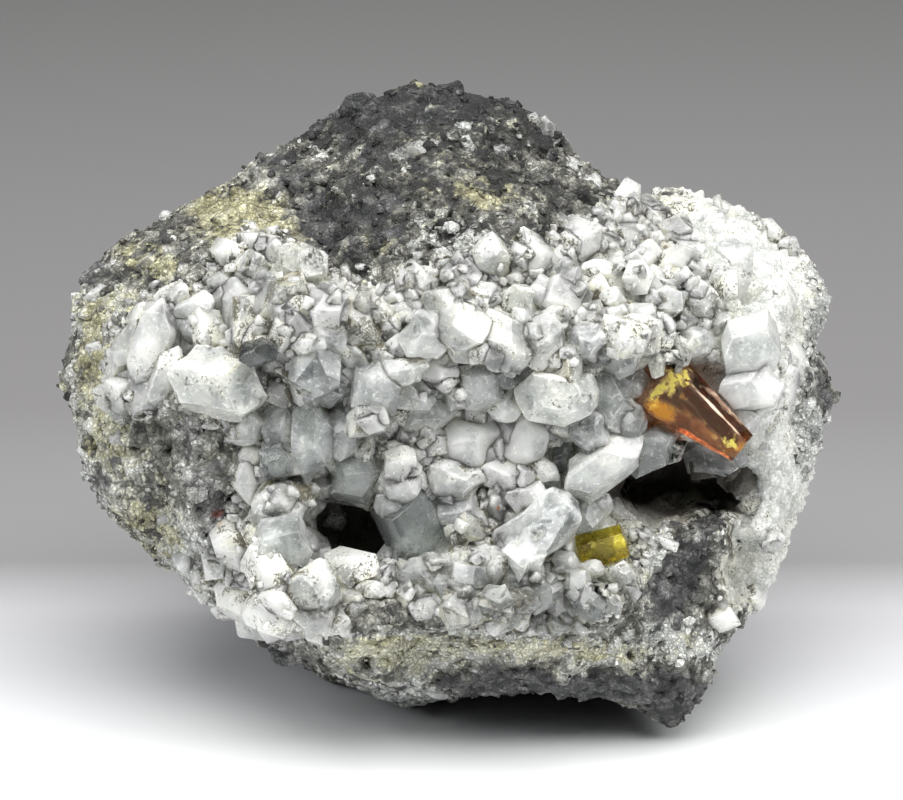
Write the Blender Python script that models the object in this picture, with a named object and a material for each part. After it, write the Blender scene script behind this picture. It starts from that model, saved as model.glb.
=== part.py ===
# Parisite specimen: a loose stone of black shale with an open pocket lined by white calcite crystals, a
# tapered brown parisite crystal lying across the pocket's right side and a short olive one low down in it.
#
# The stone rests on +Z = 0 with the pocket looking along -Y. The pocket's face leans back by FACE_LEAN, so
# places are given square to that leaning face, in millimetres: across (to the right), up (along the face)
# and deep (into the stone). on_face() turns them into metres in the part's own frame. The outline, the forms
# and the crystals are laid out as an eye EYE_DISTANCE in front of the face's middle sees them on that face.

import math
import random

import bmesh
import bpy
from mathutils import Matrix, Vector, kdtree, noise
from mathutils.bvhtree import BVHTree

MM = 0.001

# Driving dimensions, in millimetres and degrees
FACE_LEAN = math.radians(18)
FACE_MIDDLE = Vector((-0.6, 1.8, 29.6))
EYE_DISTANCE = 330.0
FRONT_BULGE = 16.0
BACK_BULGE = 23.0
EDGE_DEPTH = 3.0
EDGE_LEAN = 9.0
SIDE_FULLNESS = 0.8
UNDERSIDE_FULLNESS = 0.36
OUTLINE_ALLOWANCE = 1.016
TOP_ALLOWANCE = 0.024
FACE_FLATNESS = 0.8
# Forms fade in over this share of the face's curve, and lumps are calmed by this much at the outline
FORMS_FADE = 0.4
EDGE_CALM = 0.75
EDGE_CALM_REACH = 0.25
FORM_SQUARENESS = 1.6
LAYER_THICKNESS = 2.4
LAYER_CLEARANCE = 0.8
FIT_GAP = 0.3
TOUCH_GAP = 0.02

# How finely the solids are faceted
STONE_SUBDIVISIONS = 6
STONE_VOXEL = 0.7
LAYER_VOXEL = 0.6
MATRIX_FACES = 3050
LAYER_FACES = 400
FILLER_CRYSTALS = 14
FILLER_SEED = 11

# The stone's outline, clockwise from its peak: (across, up)
OUTLINE = [
    (-1.4, 31.2), (4.5, 29.4), (10.6, 26.0), (16.9, 21.8), (23.8, 20.6), (27.2, 19.8),
    (31.8, 15.9), (35.0, 13.4), (36.7, 10.2), (36.6, 4.4), (37.5, 0.5), (36.0, -3.1),
    (34.8, -7.3), (33.5, -13.6), (31.4, -18.6), (27.2, -24.2), (23.8, -27.0), (19.0, -28.6),
    (7.4, -29.0), (0.6, -28.8), (-4.3, -29.7), (-8.6, -27.9), (-14.0, -25.6), (-19.8, -22.3),
    (-23.2, -20.5), (-27.0, -16.5), (-31.4, -11.8), (-34.3, -7.6), (-36.4, -1.5), (-37.4, 5.3),
    (-36.6, 9.2), (-34.5, 12.4), (-30.4, 15.5), (-25.9, 17.9), (-19.7, 21.8), (-14.3, 25.4),
    (-9.8, 27.9), (-4.3, 29.7),
]

# The border of the calcite layer that lines the pocket and makes the stone's right side: (across, up)
POCKET_BORDER = [
    (-31.6, 1.9), (-31.2, 6.8), (-22.7, 8.9), (-19.8, 14.5), (-14.0, 14.3), (-9.6, 11.1),
    (-4.3, 10.2), (0.6, 14.0), (9.3, 13.1), (16.1, 16.5), (24.8, 18.6), (30.6, 14.7),
    (34.2, 9.6), (34.6, 2.0), (34.2, -4.0), (32.4, -10.2), (31.0, -16.5), (27.6, -19.6),
    (28.8, -13.5), (26.6, -9.2), (25.0, -11.6), (19.0, -12.6), (18.2, -16.5), (16.6, -20.3),
    (11.2, -23.3), (5.4, -21.8), (-1.4, -19.9), (-9.1, -19.4), (-12.0, -23.3), (-19.8, -21.3),
    (-23.6, -17.4), (-20.3, -14.5), (-18.8, -8.7), (-19.3, -2.9), (-22.2, -1.5),
]

# Forms of the face: (across, up, reach across, reach up, turn, depth pressed in, or out if negative)
RELIEF = {
    "pocket": (2.0, -7.5, 20.0, 8.0, 0, 4.0),
    "left cave": (-7.2, -13.4, 5.6, 3.2, -15, 8.0),
    "right cave": (21.4, -8.6, 7.6, 2.6, 8, 12.0),
    "brow over the pocket": (-2.0, 5.5, 23.0, 4.5, 0, -2.0),
    "lip under the pocket": (-1.0, -21.5, 20.0, 3.6, 3, -3.0),
    "lip at the left": (-15.0, -18.0, 6.0, 4.0, 20, -2.0),
    "shoulder of dark shale": (-23.3, -7.5, 3.6, 8.0, 10, -2.2),
    "right rim": (32.0, 2.0, 4.0, 12.0, 0, -1.5),
    "hole by the crown": (-12.4, 17.9, 1.9, 3.8, 10, 4.0),
    "shelf above the brow": (4.0, 19.0, 18.0, 2.4, 8, -1.4),
    "gully behind the shelf": (6.0, 23.6, 14.0, 1.6, 4, 1.2),
    "slot in the lower right": (28.4, -11.0, 1.6, 3.6, 25, 4.0),
    "pit in the lower right": (29.6, -17.0, 1.6, 2.2, 0, 2.0),
    "dark hollow in the lower right": (23.0, -19.5, 4.5, 4.5, 40, 1.6),
    "foot of the lower right": (22.0, -26.5, 4.0, 3.0, 0, -2.0),
    "crown block": (-8.5, 27.5, 3.2, 2.0, -10, -2.0),
    "groove in the left side": (-29.5, 9.5, 1.4, 4.0, 20, 1.0),
}

# Flat breaks that end the stone at its back and sides: the way out (across, up, deep), how far out
BREAKS = [
    (Vector((0.10, 0.20, 0.97)), 19.5),
    (Vector((-0.72, 0.05, 0.69)), 27.0),
    (Vector((0.74, -0.10, 0.66)), 28.5),
    (Vector((0.35, 0.70, 0.62)), 26.0),
    (Vector((-0.45, 0.62, 0.64)), 26.0),
    (Vector((0.30, -0.55, 0.78)), 27.5),
    (Vector((-0.60, -0.45, 0.66)), 28.0),
]
BREAK_SOFTNESS = 0.12

# Flat chips knocked out of the broken rock: how many, how wide, how deep and how far each is tilted
CHIPS = 300
CHIP_SEED = 5
CHIP_REACH = (2.5, 7.0)
CHIP_DEPTH = (0.1, 0.7)
CHIP_TILT = 0.22
CHIP_RIM = 0.33

# The underside bulges down here to the ground, where the stone is worn flat: middle, reach and lowest level
FOOT_MIDDLE = Vector((0.0, 5.2))
FOOT_REACH = Vector((21.0, 11.5))
FOOT_LEVEL = -1.0
FOOT_BELOW = 6.0
FOOT_RIM = 0.55

# The shale spur under the lower right corner: where it hangs from, how far it reaches, its half width
SPUR_ROOT = Vector((21.9, -27.0, -5.0))
SPUR_REACH = Vector((0.6, -4.6, 0.0))
SPUR_HALF_WIDTH = 3.2
SPUR_FRONT_LIMIT = -0.6

# Broad unevenness of the broken stone: (size of the lumps, height)
ROUGHNESS = [(12.0, 1.6), (5.0, 1.0), (2.6, 0.5)]

# Thin beds of the shale that stand out as ledges: spacing, height and the slant of the beds
BED_SPACING = 3.4
BED_HEIGHT = 0.8
BED_WAVE = 0.5
BED_WAVE_LENGTH = 9.0
BED_EDGE = 0.17
BED_SLANT = Vector((0.16, 1.0, -0.22)).normalized()

# The larger calcite crystals: (across, up, length, width, turn of the long axis, lean towards the viewer)
CRYSTALS = {
    "left blocks": [
        (-28.5, 5.3, 5.4, 4.8, 60, 35), (-24.1, 6.6, 4.2, 3.0, 20, 50), (-28.7, 0.8, 4.4, 4.0, 80, 30),
        (-22.2, 1.6, 8.2, 5.8, -10, 10), (-19.6, -1.9, 4.4, 3.9, 70, 20), (-20.3, 8.7, 4.8, 4.1, 100, 30),
        (-18.0, 4.7, 3.1, 2.4, 20, 30),
    ],
    "brow left": [
        (-18.8, 12.6, 4.4, 3.0, 30, 40), (-14.1, 12.4, 4.8, 3.5, -20, 30), (-16.4, 9.3, 4.4, 3.9, 40, 35),
        (-11.8, 6.8, 5.8, 5.3, -30, 25), (-12.2, 2.7, 5.3, 4.4, 30, 20), (-8.3, 7.5, 5.6, 3.9, -40, 20),
        (-6.6, 1.2, 4.9, 4.2, 80, 15), (-4.1, 3.1, 4.8, 2.7, 5, 10), (-3.8, 0.6, 4.7, 2.5, -5, 10),
    ],
    "brow middle": [
        (-1.6, 6.0, 4.8, 4.7, 50, 30), (2.0, 6.8, 5.3, 4.8, 20, 30), (5.4, 5.3, 5.8, 4.8, -20, 20),
        (9.8, 5.6, 5.3, 4.4, 85, 20), (3.7, 1.5, 4.8, 4.2, 90, 20), (10.5, 0.3, 7.4, 4.9, -12, 5),
        (11.2, 3.2, 3.4, 2.9, 20, 30),
    ],
    "brow right": [
        (11.9, 9.7, 5.3, 4.6, 30, 35), (14.9, 7.6, 4.4, 3.9, 80, 30), (18.0, 10.7, 5.6, 3.5, 120, 25),
        (14.1, 5.0, 3.9, 3.4, 0, 30), (20.2, 4.9, 6.8, 4.8, -15, 15), (24.6, 5.2, 3.3, 3.1, 90, 20),
        (21.7, 8.9, 3.7, 3.3, 40, 40), (24.8, 9.5, 4.1, 3.5, 10, 35), (26.3, 7.4, 2.9, 2.3, -10, 30),
        (29.6, 4.7, 8.2, 5.4, 68, 10), (30.0, 1.0, 5.8, 4.7, 10, 20), (28.6, -0.6, 5.4, 2.3, -55, 0),
    ],
    "wall left": [
        (-12.6, -3.6, 8.3, 3.7, 86, 10), (-15.6, -2.7, 4.8, 3.7, 120, 15), (-16.1, -6.3, 3.1, 2.9, 90, 30),
        (-17.6, -11.1, 2.3, 1.9, 30, 20), (-16.6, -9.4, 2.5, 1.7, 75, 10), (-9.6, -2.9, 5.8, 3.9, 90, 20),
        (-9.1, -7.6, 5.8, 4.4, 60, 20),
    ],
    "wall middle": [
        (-2.3, -1.4, 5.8, 3.7, 0, 10), (2.5, -3.7, 6.0, 4.8, 10, 20), (-4.3, -6.0, 3.3, 2.7, 90, 20),
        (-4.7, -8.4, 4.1, 2.9, 0, 10), (-3.0, -11.8, 7.0, 5.4, -65, 5), (1.4, -10.9, 5.8, 5.0, 70, 15),
        (1.1, -7.3, 6.3, 4.1, -5, 20), (5.9, -7.9, 5.0, 3.1, -25, 20), (8.1, -3.9, 6.0, 3.7, 80, 10),
        (8.7, -10.0, 4.1, 2.9, 10, 20), (9.1, -7.2, 3.9, 2.2, -30, 10),
    ],
    "wall right": [
        (15.4, -6.3, 8.4, 4.0, 38, 5), (11.5, -5.3, 4.4, 2.1, 60, 10), (16.5, 0.0, 5.8, 4.0, -60, 10),
        (14.1, -2.7, 3.9, 3.5, 45, 30), (20.4, -4.6, 6.0, 3.7, 25, 10), (26.4, -5.8, 6.0, 3.5, -8, 10),
    ],
    "floor": [
        (8.8, -13.3, 9.2, 5.2, 38, 15), (13.4, -11.6, 4.5, 3.5, 10, 30), (16.5, -10.9, 3.9, 2.7, -50, 10),
        (-15.9, -14.5, 7.4, 5.4, 65, 10), (-13.5, -19.2, 6.8, 5.3, 20, 30), (2.4, -17.2, 4.1, 3.7, 60, 55),
        (-1.4, -17.0, 6.0, 3.9, 0, 25), (-7.1, -18.6, 2.9, 1.7, 0, 20), (-9.6, -17.2, 2.4, 2.3, 0, 30),
        (6.2, -16.6, 5.3, 4.1, -20, 30), (9.4, -18.4, 4.1, 2.9, 10, 30), (12.9, -17.9, 2.8, 2.7, 0, 60),
        (14.1, -19.6, 3.3, 3.0, 40, 60), (2.0, -20.2, 2.9, 2.4, 80, 30), (5.2, -19.6, 3.4, 2.9, 0, 30),
    ],
}
CRYSTAL_GROWTH = 1.3
SMALLEST_PRISM = 5.4
CRYSTAL_THICKNESS = 0.88
CRYSTAL_STAND_OUT = 0.12
CAP_SLOPE = math.radians(46)
CAP_SLOPE_SPREAD = math.radians(7)
CAP_SHIFT = (-0.12, 0.04)
RHOMB_STRETCH = 1.15

# The small crystals strewn between them: range of places, lengths, slimness and leans
FILLER_ACROSS = (-31.0, 32.0)
FILLER_UP = (-22.0, 15.0)
FILLER_LENGTH = (2.2, 3.4)
FILLER_SLIMNESS = 0.75
FILLER_LEAN = (10.0, 60.0)

# The parisite crystals: middle on the face, length, half widths of the wide and narrow ends, turn, lean,
# and how far the crystal's axis stands out of the calcite layer
PARISITE = {
    "at": (24.7, -1.3), "length": 10.4, "wide": 3.3, "narrow": 1.55, "tiers": 9,
    "turn": -39.0, "lean": 8.0, "stand_out": 2.6,
}
SMALL_PARISITE = {
    "at": (15.4, -14.2), "length": 4.4, "wide": 1.75, "narrow": 1.55, "tiers": 3,
    "turn": 18.0, "lean": 8.0, "stand_out": 0.9,
}
# A parisite crystal's cross-section, in half widths: (across the crystal, towards the viewer)
SECTION = [(-1.0, 0.30), (0.42, 0.86), (1.0, 0.22), (0.62, -0.72), (-0.60, -0.80), (-1.0, -0.25)]

# Base colour, roughness and metallic value of each piece
FINISHES = {
    "matrix": ((0.13, 0.13, 0.125, 1.0), 0.75, 0.0),
    "calcite_crust": ((0.66, 0.68, 0.66, 1.0), 0.35, 0.0),
    "parisite_crystal": ((0.33, 0.13, 0.035, 1.0), 0.15, 0.0),
    "small_parisite_crystal": ((0.28, 0.24, 0.05, 1.0), 0.18, 0.0),
}


# Places on the leaning face


def on_face(across, up, deep):
    lean_sin, lean_cos = math.sin(FACE_LEAN), math.cos(FACE_LEAN)
    along_y = up * lean_sin + deep * lean_cos
    along_z = up * lean_cos - deep * lean_sin
    return (FACE_MIDDLE + Vector((across, along_y, along_z))) * MM


def face_coordinates(place):
    lean_sin, lean_cos = math.sin(FACE_LEAN), math.cos(FACE_LEAN)
    across, along_y, along_z = place / MM - FACE_MIDDLE
    up = along_y * lean_sin + along_z * lean_cos
    deep = along_y * lean_cos - along_z * lean_sin
    return across, up, deep


def as_seen(place):
    # Where the eye sees that place on the face: across, up, and the place's own depth
    across, up, deep = face_coordinates(place)
    nearness = EYE_DISTANCE / (EYE_DISTANCE + deep)
    return across * nearness, up * nearness, deep


def axes_on_face(turn, lean):
    # A crystal's long axis, its side and its front, for a turn on the face and a lean towards the viewer
    right = Vector((1, 0, 0))
    upward = Vector((0, math.sin(FACE_LEAN), math.cos(FACE_LEAN)))
    inward = Vector((0, math.cos(FACE_LEAN), -math.sin(FACE_LEAN)))
    turn, lean = math.radians(turn), math.radians(lean)
    flat = right * math.cos(turn) + upward * math.sin(turn)
    long_axis = flat * math.cos(lean) - inward * math.sin(lean)
    side = right * -math.sin(turn) + upward * math.cos(turn)
    return long_axis, side, long_axis.cross(side)


def inside_border(across, up, border):
    inside = False
    for (x1, y1), (x2, y2) in zip(border, border[1:] + border[:1]):
        if (y1 > up) != (y2 > up) and across < (x2 - x1) * (up - y1) / (y2 - y1) + x1:
            inside = not inside
    return inside


def smooth_step(value):
    value = min(max(value, 0.0), 1.0)
    return value * value * (3 - 2 * value)


# Objects and modifiers


def object_from(name, mesh):
    made = bpy.data.objects.new(name, mesh)
    bpy.context.scene.collection.objects.link(made)
    return made


def mesh_from(name, bm):
    mesh = bpy.data.meshes.new(name)
    bm.to_mesh(mesh)
    bm.free()
    return mesh


def apply_modifiers(made):
    evaluated = made.evaluated_get(bpy.context.evaluated_depsgraph_get())
    mesh = bpy.data.meshes.new_from_object(evaluated)
    made.modifiers.clear()
    made.data = mesh


def remesh_and_reduce(made, voxel, faces):
    remesh = made.modifiers.new("even out", "REMESH")
    remesh.mode = "VOXEL"
    remesh.voxel_size = voxel * MM
    apply_modifiers(made)
    triangles = sum(len(face.vertices) - 2 for face in made.data.polygons)
    reduce = made.modifiers.new("reduce", "DECIMATE")
    reduce.ratio = min(1.0, faces / triangles)
    reduce.use_collapse_triangulate = True
    apply_modifiers(made)


def combine(made, other, operation, overlaps_itself=False):
    boolean = made.modifiers.new(operation.lower(), "BOOLEAN")
    boolean.operation = operation
    boolean.object = other
    boolean.use_self = overlaps_itself
    apply_modifiers(made)
    bpy.data.objects.remove(other)


def keep_largest_body(made):
    bm = bmesh.new()
    bm.from_mesh(made.data)
    unseen = set(bm.verts)
    bodies = []
    while unseen:
        body, edge_of_body = set(), [unseen.pop()]
        while edge_of_body:
            vert = edge_of_body.pop()
            body.add(vert)
            near = {edge.other_vert(vert) for edge in vert.link_edges} & unseen
            unseen -= near
            edge_of_body.extend(near)
        bodies.append(body)
    largest = max(bodies, key=len)
    bmesh.ops.delete(bm, geom=[vert for vert in bm.verts if vert not in largest], context="VERTS")
    bm.to_mesh(made.data)
    bm.free()


# The stone


def outline_reach(angle):
    # How far the outline is from the middle, in the direction of angle
    direction = Vector((math.cos(angle), math.sin(angle)))
    for first, second in zip(OUTLINE, OUTLINE[1:] + OUTLINE[:1]):
        first, second = Vector(first), Vector(second)
        span = second - first
        facing = direction.cross(span)
        if abs(facing) < 1e-9:
            continue
        reach = first.cross(span) / facing
        along = first.cross(direction) / facing
        if reach > 0 and -1e-6 <= along <= 1 + 1e-6:
            return reach
    return 0.0


def relief_at(across, up):
    total = 0.0
    for form_across, form_up, reach_across, reach_up, turn, depth in RELIEF.values():
        turn = math.radians(turn)
        right, above = across - form_across, up - form_up
        along = (right * math.cos(turn) + above * math.sin(turn)) / reach_across
        beside = (above * math.cos(turn) - right * math.sin(turn)) / reach_up
        total += depth * math.exp(-((along**2 + beside**2) ** FORM_SQUARENESS))
    return total


def ledge_at(point):
    # How far the shale's beds stand out here, rising slowly and dropping back at each bed's edge
    level = point.dot(BED_SLANT) / BED_SPACING + BED_WAVE * noise.noise(point / BED_WAVE_LENGTH)
    share = level - math.floor(level)
    return BED_HEIGHT * (share - 0.5) * smooth_step((1 - share) / BED_EDGE)


def chip_stone(bm):
    # Flattens small patches of the surface, as chips broken off it leave them
    chance = random.Random(CHIP_SEED)
    verts = list(bm.verts)
    tree = kdtree.KDTree(len(verts))
    for number, vert in enumerate(verts):
        tree.insert(vert.co, number)
    tree.balance()
    for _ in range(CHIPS):
        vert = chance.choice(verts)
        tilt = Vector((chance.uniform(-1, 1), chance.uniform(-1, 1), chance.uniform(-1, 1))) * CHIP_TILT
        way_out = (vert.normal + tilt).normalized()
        reach = chance.uniform(*CHIP_REACH) * MM
        middle = vert.co - vert.normal * chance.uniform(*CHIP_DEPTH) * MM
        for _, number, distance in tree.find_range(vert.co, reach):
            other = verts[number]
            beyond = (other.co - middle).dot(way_out)
            if beyond > 0:
                other.co -= way_out * beyond * smooth_step((1 - distance / reach) / CHIP_RIM)


def stone_point(direction):
    # direction is a unit vector (across, up, deep). Returns the stone's surface there, in face coordinates
    side, facing = math.hypot(direction.x, direction.y), -direction.z
    angle = math.atan2(direction.y, direction.x)
    below = max(0.0, -math.sin(angle)) if facing < 0 else 0.0
    fullness = SIDE_FULLNESS + (UNDERSIDE_FULLNESS - SIDE_FULLNESS) * below
    allowance = OUTLINE_ALLOWANCE + TOP_ALLOWANCE * math.sin(angle)
    reach = allowance * outline_reach(angle) * side**fullness
    bulge = FRONT_BULGE if facing > 0 else BACK_BULGE
    edge = (EDGE_DEPTH + EDGE_LEAN * math.sin(angle)) * side**2
    deep = edge - math.copysign(bulge * abs(facing) ** FACE_FLATNESS, facing)
    point = Vector((reach * math.cos(angle), reach * math.sin(angle), deep))

    point.z += relief_at(point.x, point.y) * smooth_step(facing / FORMS_FADE)
    for way_out, distance in BREAKS:
        beyond = point.dot(way_out.normalized()) - distance
        if beyond > 0:
            point -= way_out.normalized() * beyond * (1 - BREAK_SOFTNESS)

    away = 1 - EDGE_CALM * math.exp(-((facing / EDGE_CALM_REACH) ** 2))
    outward = point.normalized()
    for size, height in ROUGHNESS:
        point += outward * height * away * noise.noise(point / size)
    point += outward * ledge_at(point) * away
    spur = point - SPUR_ROOT
    if facing > SPUR_FRONT_LIMIT:
        point += SPUR_REACH * math.exp(-((spur.length / SPUR_HALF_WIDTH) ** 2))
    farness = (EYE_DISTANCE + point.z) / EYE_DISTANCE
    return Vector((point.x * farness, point.y * farness, point.z))


def press_down_foot(place):
    # Brings the underside down to the ground under the stone's middle
    across, along_y, height = place / MM
    off = Vector(((across - FOOT_MIDDLE.x) / FOOT_REACH.x, (along_y - FOOT_MIDDLE.y) / FOOT_REACH.y))
    if height < FOOT_BELOW:
        share = smooth_step((1 - off.length) / FOOT_RIM)
        height += (FOOT_LEVEL - height) * share
    return Vector((across, along_y, height)) * MM


def stone_surface():
    # The whole outer surface of the stone and its calcite layer, before the two are parted
    bm = bmesh.new()
    bmesh.ops.create_icosphere(bm, subdivisions=STONE_SUBDIVISIONS, radius=1)
    for vert in bm.verts:
        vert.co = on_face(*stone_point(vert.co.normalized()))
    if bm.calc_volume(signed=True) < 0:
        bmesh.ops.reverse_faces(bm, faces=bm.faces)
    bm.normal_update()
    chip_stone(bm)
    for vert in bm.verts:
        vert.co = press_down_foot(vert.co)
    bm.normal_update()
    return bm


def in_pocket(vert):
    across, up, deep = as_seen(vert.co)
    return deep < EDGE_DEPTH and inside_border(across, up, POCKET_BORDER)


def make_matrix(surface):
    bm = surface.copy()
    bed = LAYER_THICKNESS + LAYER_CLEARANCE
    moved = {vert: vert.co - vert.normal * bed * MM for vert in bm.verts if in_pocket(vert)}
    for vert, place in moved.items():
        vert.co = place
    matrix = object_from("matrix", mesh_from("matrix", bm))
    remesh_and_reduce(matrix, STONE_VOXEL, MATRIX_FACES)

    bm = bmesh.new()
    bm.from_mesh(matrix.data)
    whole = bm.verts[:] + bm.edges[:] + bm.faces[:]
    cut = bmesh.ops.bisect_plane(bm, geom=whole, plane_co=(0, 0, 0), plane_no=(0, 0, -1), clear_outer=True)
    rim = [item for item in cut["geom_cut"] if isinstance(item, bmesh.types.BMEdge)]
    bmesh.ops.holes_fill(bm, edges=rim, sides=0)
    bmesh.ops.triangulate(bm, faces=bm.faces)
    bm.to_mesh(matrix.data)
    bm.free()
    keep_largest_body(matrix)
    return matrix


# The calcite layer and its crystals


def make_layer(surface):
    bm = surface.copy()
    outside = [face for face in bm.faces if not all(in_pocket(vert) for vert in face.verts)]
    bmesh.ops.delete(bm, geom=outside, context="FACES")
    layer = object_from("calcite_crust", mesh_from("calcite_crust", bm))
    thicken = layer.modifiers.new("thickness", "SOLIDIFY")
    thicken.thickness = LAYER_THICKNESS * MM
    thicken.offset = -1
    remesh_and_reduce(layer, LAYER_VOXEL, LAYER_FACES)
    keep_largest_body(layer)
    return layer


def slice_off(bm, point, way_out):
    whole = bm.verts[:] + bm.edges[:] + bm.faces[:]
    cut = bmesh.ops.bisect_plane(bm, geom=whole, plane_co=point, plane_no=way_out, clear_outer=True)
    rim = [item for item in cut["geom_cut"] if isinstance(item, bmesh.types.BMEdge)]
    if len(rim) > 2:
        bmesh.ops.contextual_create(bm, geom=rim)


def calcite_crystal(length, width, chance):
    # A six-sided prism along Z with a three-faced cap at each end, in millimetres
    bm = bmesh.new()
    bmesh.ops.create_cone(
        bm, cap_ends=True, segments=6, radius1=width / 2, radius2=width / 2, depth=length * 1.2
    )
    bmesh.ops.scale(bm, vec=(1.0, CRYSTAL_THICKNESS, 1.0), verts=bm.verts)
    for end in (1, -1):
        tip = Vector((0, 0, end * length / 2))
        for third in range(3):
            around = math.radians(120 * third + 60 * (end < 0) + 30)
            slope = CAP_SLOPE + chance.uniform(-CAP_SLOPE_SPREAD, CAP_SLOPE_SPREAD)
            outward = Vector((math.cos(around), math.sin(around), 0))
            way_out = outward * math.sin(slope) + Vector((0, 0, end * math.cos(slope)))
            slice_off(bm, tip + way_out * chance.uniform(*CAP_SHIFT) * width, way_out)
    return bm


def small_rhomb(size):
    # A cube stood on its corner along Z and drawn out, in millimetres
    bm = bmesh.new()
    bmesh.ops.create_cube(bm, size=size)
    corner_up = Vector((1, 1, 1)).rotation_difference(Vector((0, 0, 1)))
    bmesh.ops.rotate(bm, matrix=corner_up.to_matrix(), verts=bm.verts)
    bmesh.ops.scale(bm, vec=(1.0, 1.0, RHOMB_STRETCH), verts=bm.verts)
    return bm


def place_crystal(cluster, surface_tree, row, chance):
    across, up, length, width, turn, lean = row
    length, width = length * CRYSTAL_GROWTH, width * CRYSTAL_GROWTH
    hit, normal = look_at_stone(surface_tree, across, up)
    crystal = calcite_crystal(length, width, chance) if length > SMALLEST_PRISM else small_rhomb(width)
    long_axis, side, front = axes_on_face(turn, lean)
    spin = Matrix.Rotation(chance.uniform(0, math.pi / 3), 3, "Z")
    turned = Matrix((side, front, long_axis)).transposed() @ spin
    middle = hit + normal * CRYSTAL_STAND_OUT * width * MM
    for vert in crystal.verts:
        vert.co = middle + turned @ (vert.co * MM)
    made = mesh_from("one crystal", crystal)
    cluster.from_mesh(made)
    bpy.data.meshes.remove(made)


def look_at_stone(tree, across, up):
    # The point of the stone seen at that place on the face, and the surface's normal there
    eye = on_face(0, 0, -EYE_DISTANCE)
    hit, normal, _, _ = tree.ray_cast(eye, (on_face(across, up, 0) - eye).normalized())
    if hit is None:
        hit, normal, _, _ = tree.find_nearest(on_face(across, up, EDGE_DEPTH))
    return hit, normal


def filler_rows(chance):
    # Smaller crystals strewn over the layer between the named ones
    rows = []
    while len(rows) < FILLER_CRYSTALS:
        across, up = chance.uniform(*FILLER_ACROSS), chance.uniform(*FILLER_UP)
        if inside_border(across, up, POCKET_BORDER):
            length = chance.uniform(*FILLER_LENGTH)
            turn, lean = chance.uniform(0, 180), chance.uniform(*FILLER_LEAN)
            rows.append((across, up, length, length * FILLER_SLIMNESS, turn, lean))
    return rows


def make_crust(surface, tree, matrix, parisites):
    crust = make_layer(surface)
    chance = random.Random(FILLER_SEED)
    cluster = bmesh.new()
    for row in [row for rows in CRYSTALS.values() for row in rows] + filler_rows(chance):
        place_crystal(cluster, tree, row, chance)
    crystals = object_from("crystals", mesh_from("crystals", cluster))
    combine(crust, crystals, "UNION", overlaps_itself=True)
    for neighbour in [matrix] + parisites:
        combine(crust, grown_copy(neighbour, FIT_GAP), "DIFFERENCE", overlaps_itself=True)
    combine(crust, grown_copy(matrix, TOUCH_GAP), "DIFFERENCE", overlaps_itself=True)
    keep_largest_body(crust)
    return crust


def grown_copy(made, growth):
    # A copy that is larger all round, to cut a neighbour's seat with
    copy = object_from("seat", made.data.copy())
    grow = copy.modifiers.new("grow", "DISPLACE")
    grow.mid_level = 0
    grow.strength = growth * MM
    apply_modifiers(copy)
    return copy


# The parisite crystals


def make_parisite(name, size, tree):
    bm = bmesh.new()
    tiers = size["tiers"]
    rings = []
    for tier in range(tiers + 1):
        share = tier / tiers
        half = size["wide"] + (size["narrow"] - size["wide"]) * share
        along = size["length"] * (share - 0.5)
        rings.append([bm.verts.new((x * half, y * half, along)) for x, y in SECTION])
    corners = len(SECTION)
    for low, high in zip(rings, rings[1:]):
        for corner in range(corners):
            beside = (corner + 1) % corners
            bm.faces.new((low[corner], low[beside], high[beside], high[corner]))
    bm.faces.new(rings[0])
    bm.faces.new(rings[-1])

    hit, _ = look_at_stone(tree, *size["at"])
    eye = on_face(0, 0, -EYE_DISTANCE)
    middle = hit + (eye - hit).normalized() * size["stand_out"] * MM
    long_axis, side, front = axes_on_face(size["turn"], size["lean"])
    towards_viewer = front if front.y < 0 else -front
    turned = Matrix((towards_viewer.cross(long_axis), towards_viewer, long_axis)).transposed()
    for vert in bm.verts:
        vert.co = middle + turned @ (vert.co * MM)
    bmesh.ops.recalc_face_normals(bm, faces=bm.faces)
    return object_from(name, mesh_from(name, bm))


# Materials


def give_material(made):
    colour, roughness, metallic = FINISHES[made.name]
    material = bpy.data.materials.new(made.name)
    material.use_nodes = True
    shader = material.node_tree.nodes["Principled BSDF"]
    shader.inputs["Base Color"].default_value = colour
    shader.inputs["Roughness"].default_value = roughness
    shader.inputs["Metallic"].default_value = metallic
    made.data.materials.clear()
    made.data.materials.append(material)


def build():
    for old in list(bpy.data.objects):
        bpy.data.objects.remove(old)
    surface = stone_surface()
    tree = BVHTree.FromBMesh(surface)
    matrix = make_matrix(surface)
    parisites = [
        make_parisite("parisite_crystal", PARISITE, tree),
        make_parisite("small_parisite_crystal", SMALL_PARISITE, tree),
    ]
    crust = make_crust(surface, tree, matrix, parisites)
    surface.free()
    for made in [matrix, crust] + parisites:
        give_material(made)


build()
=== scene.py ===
import math
import random

import bmesh
import bpy
import numpy as np
from mathutils import Matrix, Vector, noise
from mathutils.bvhtree import BVHTree


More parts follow.
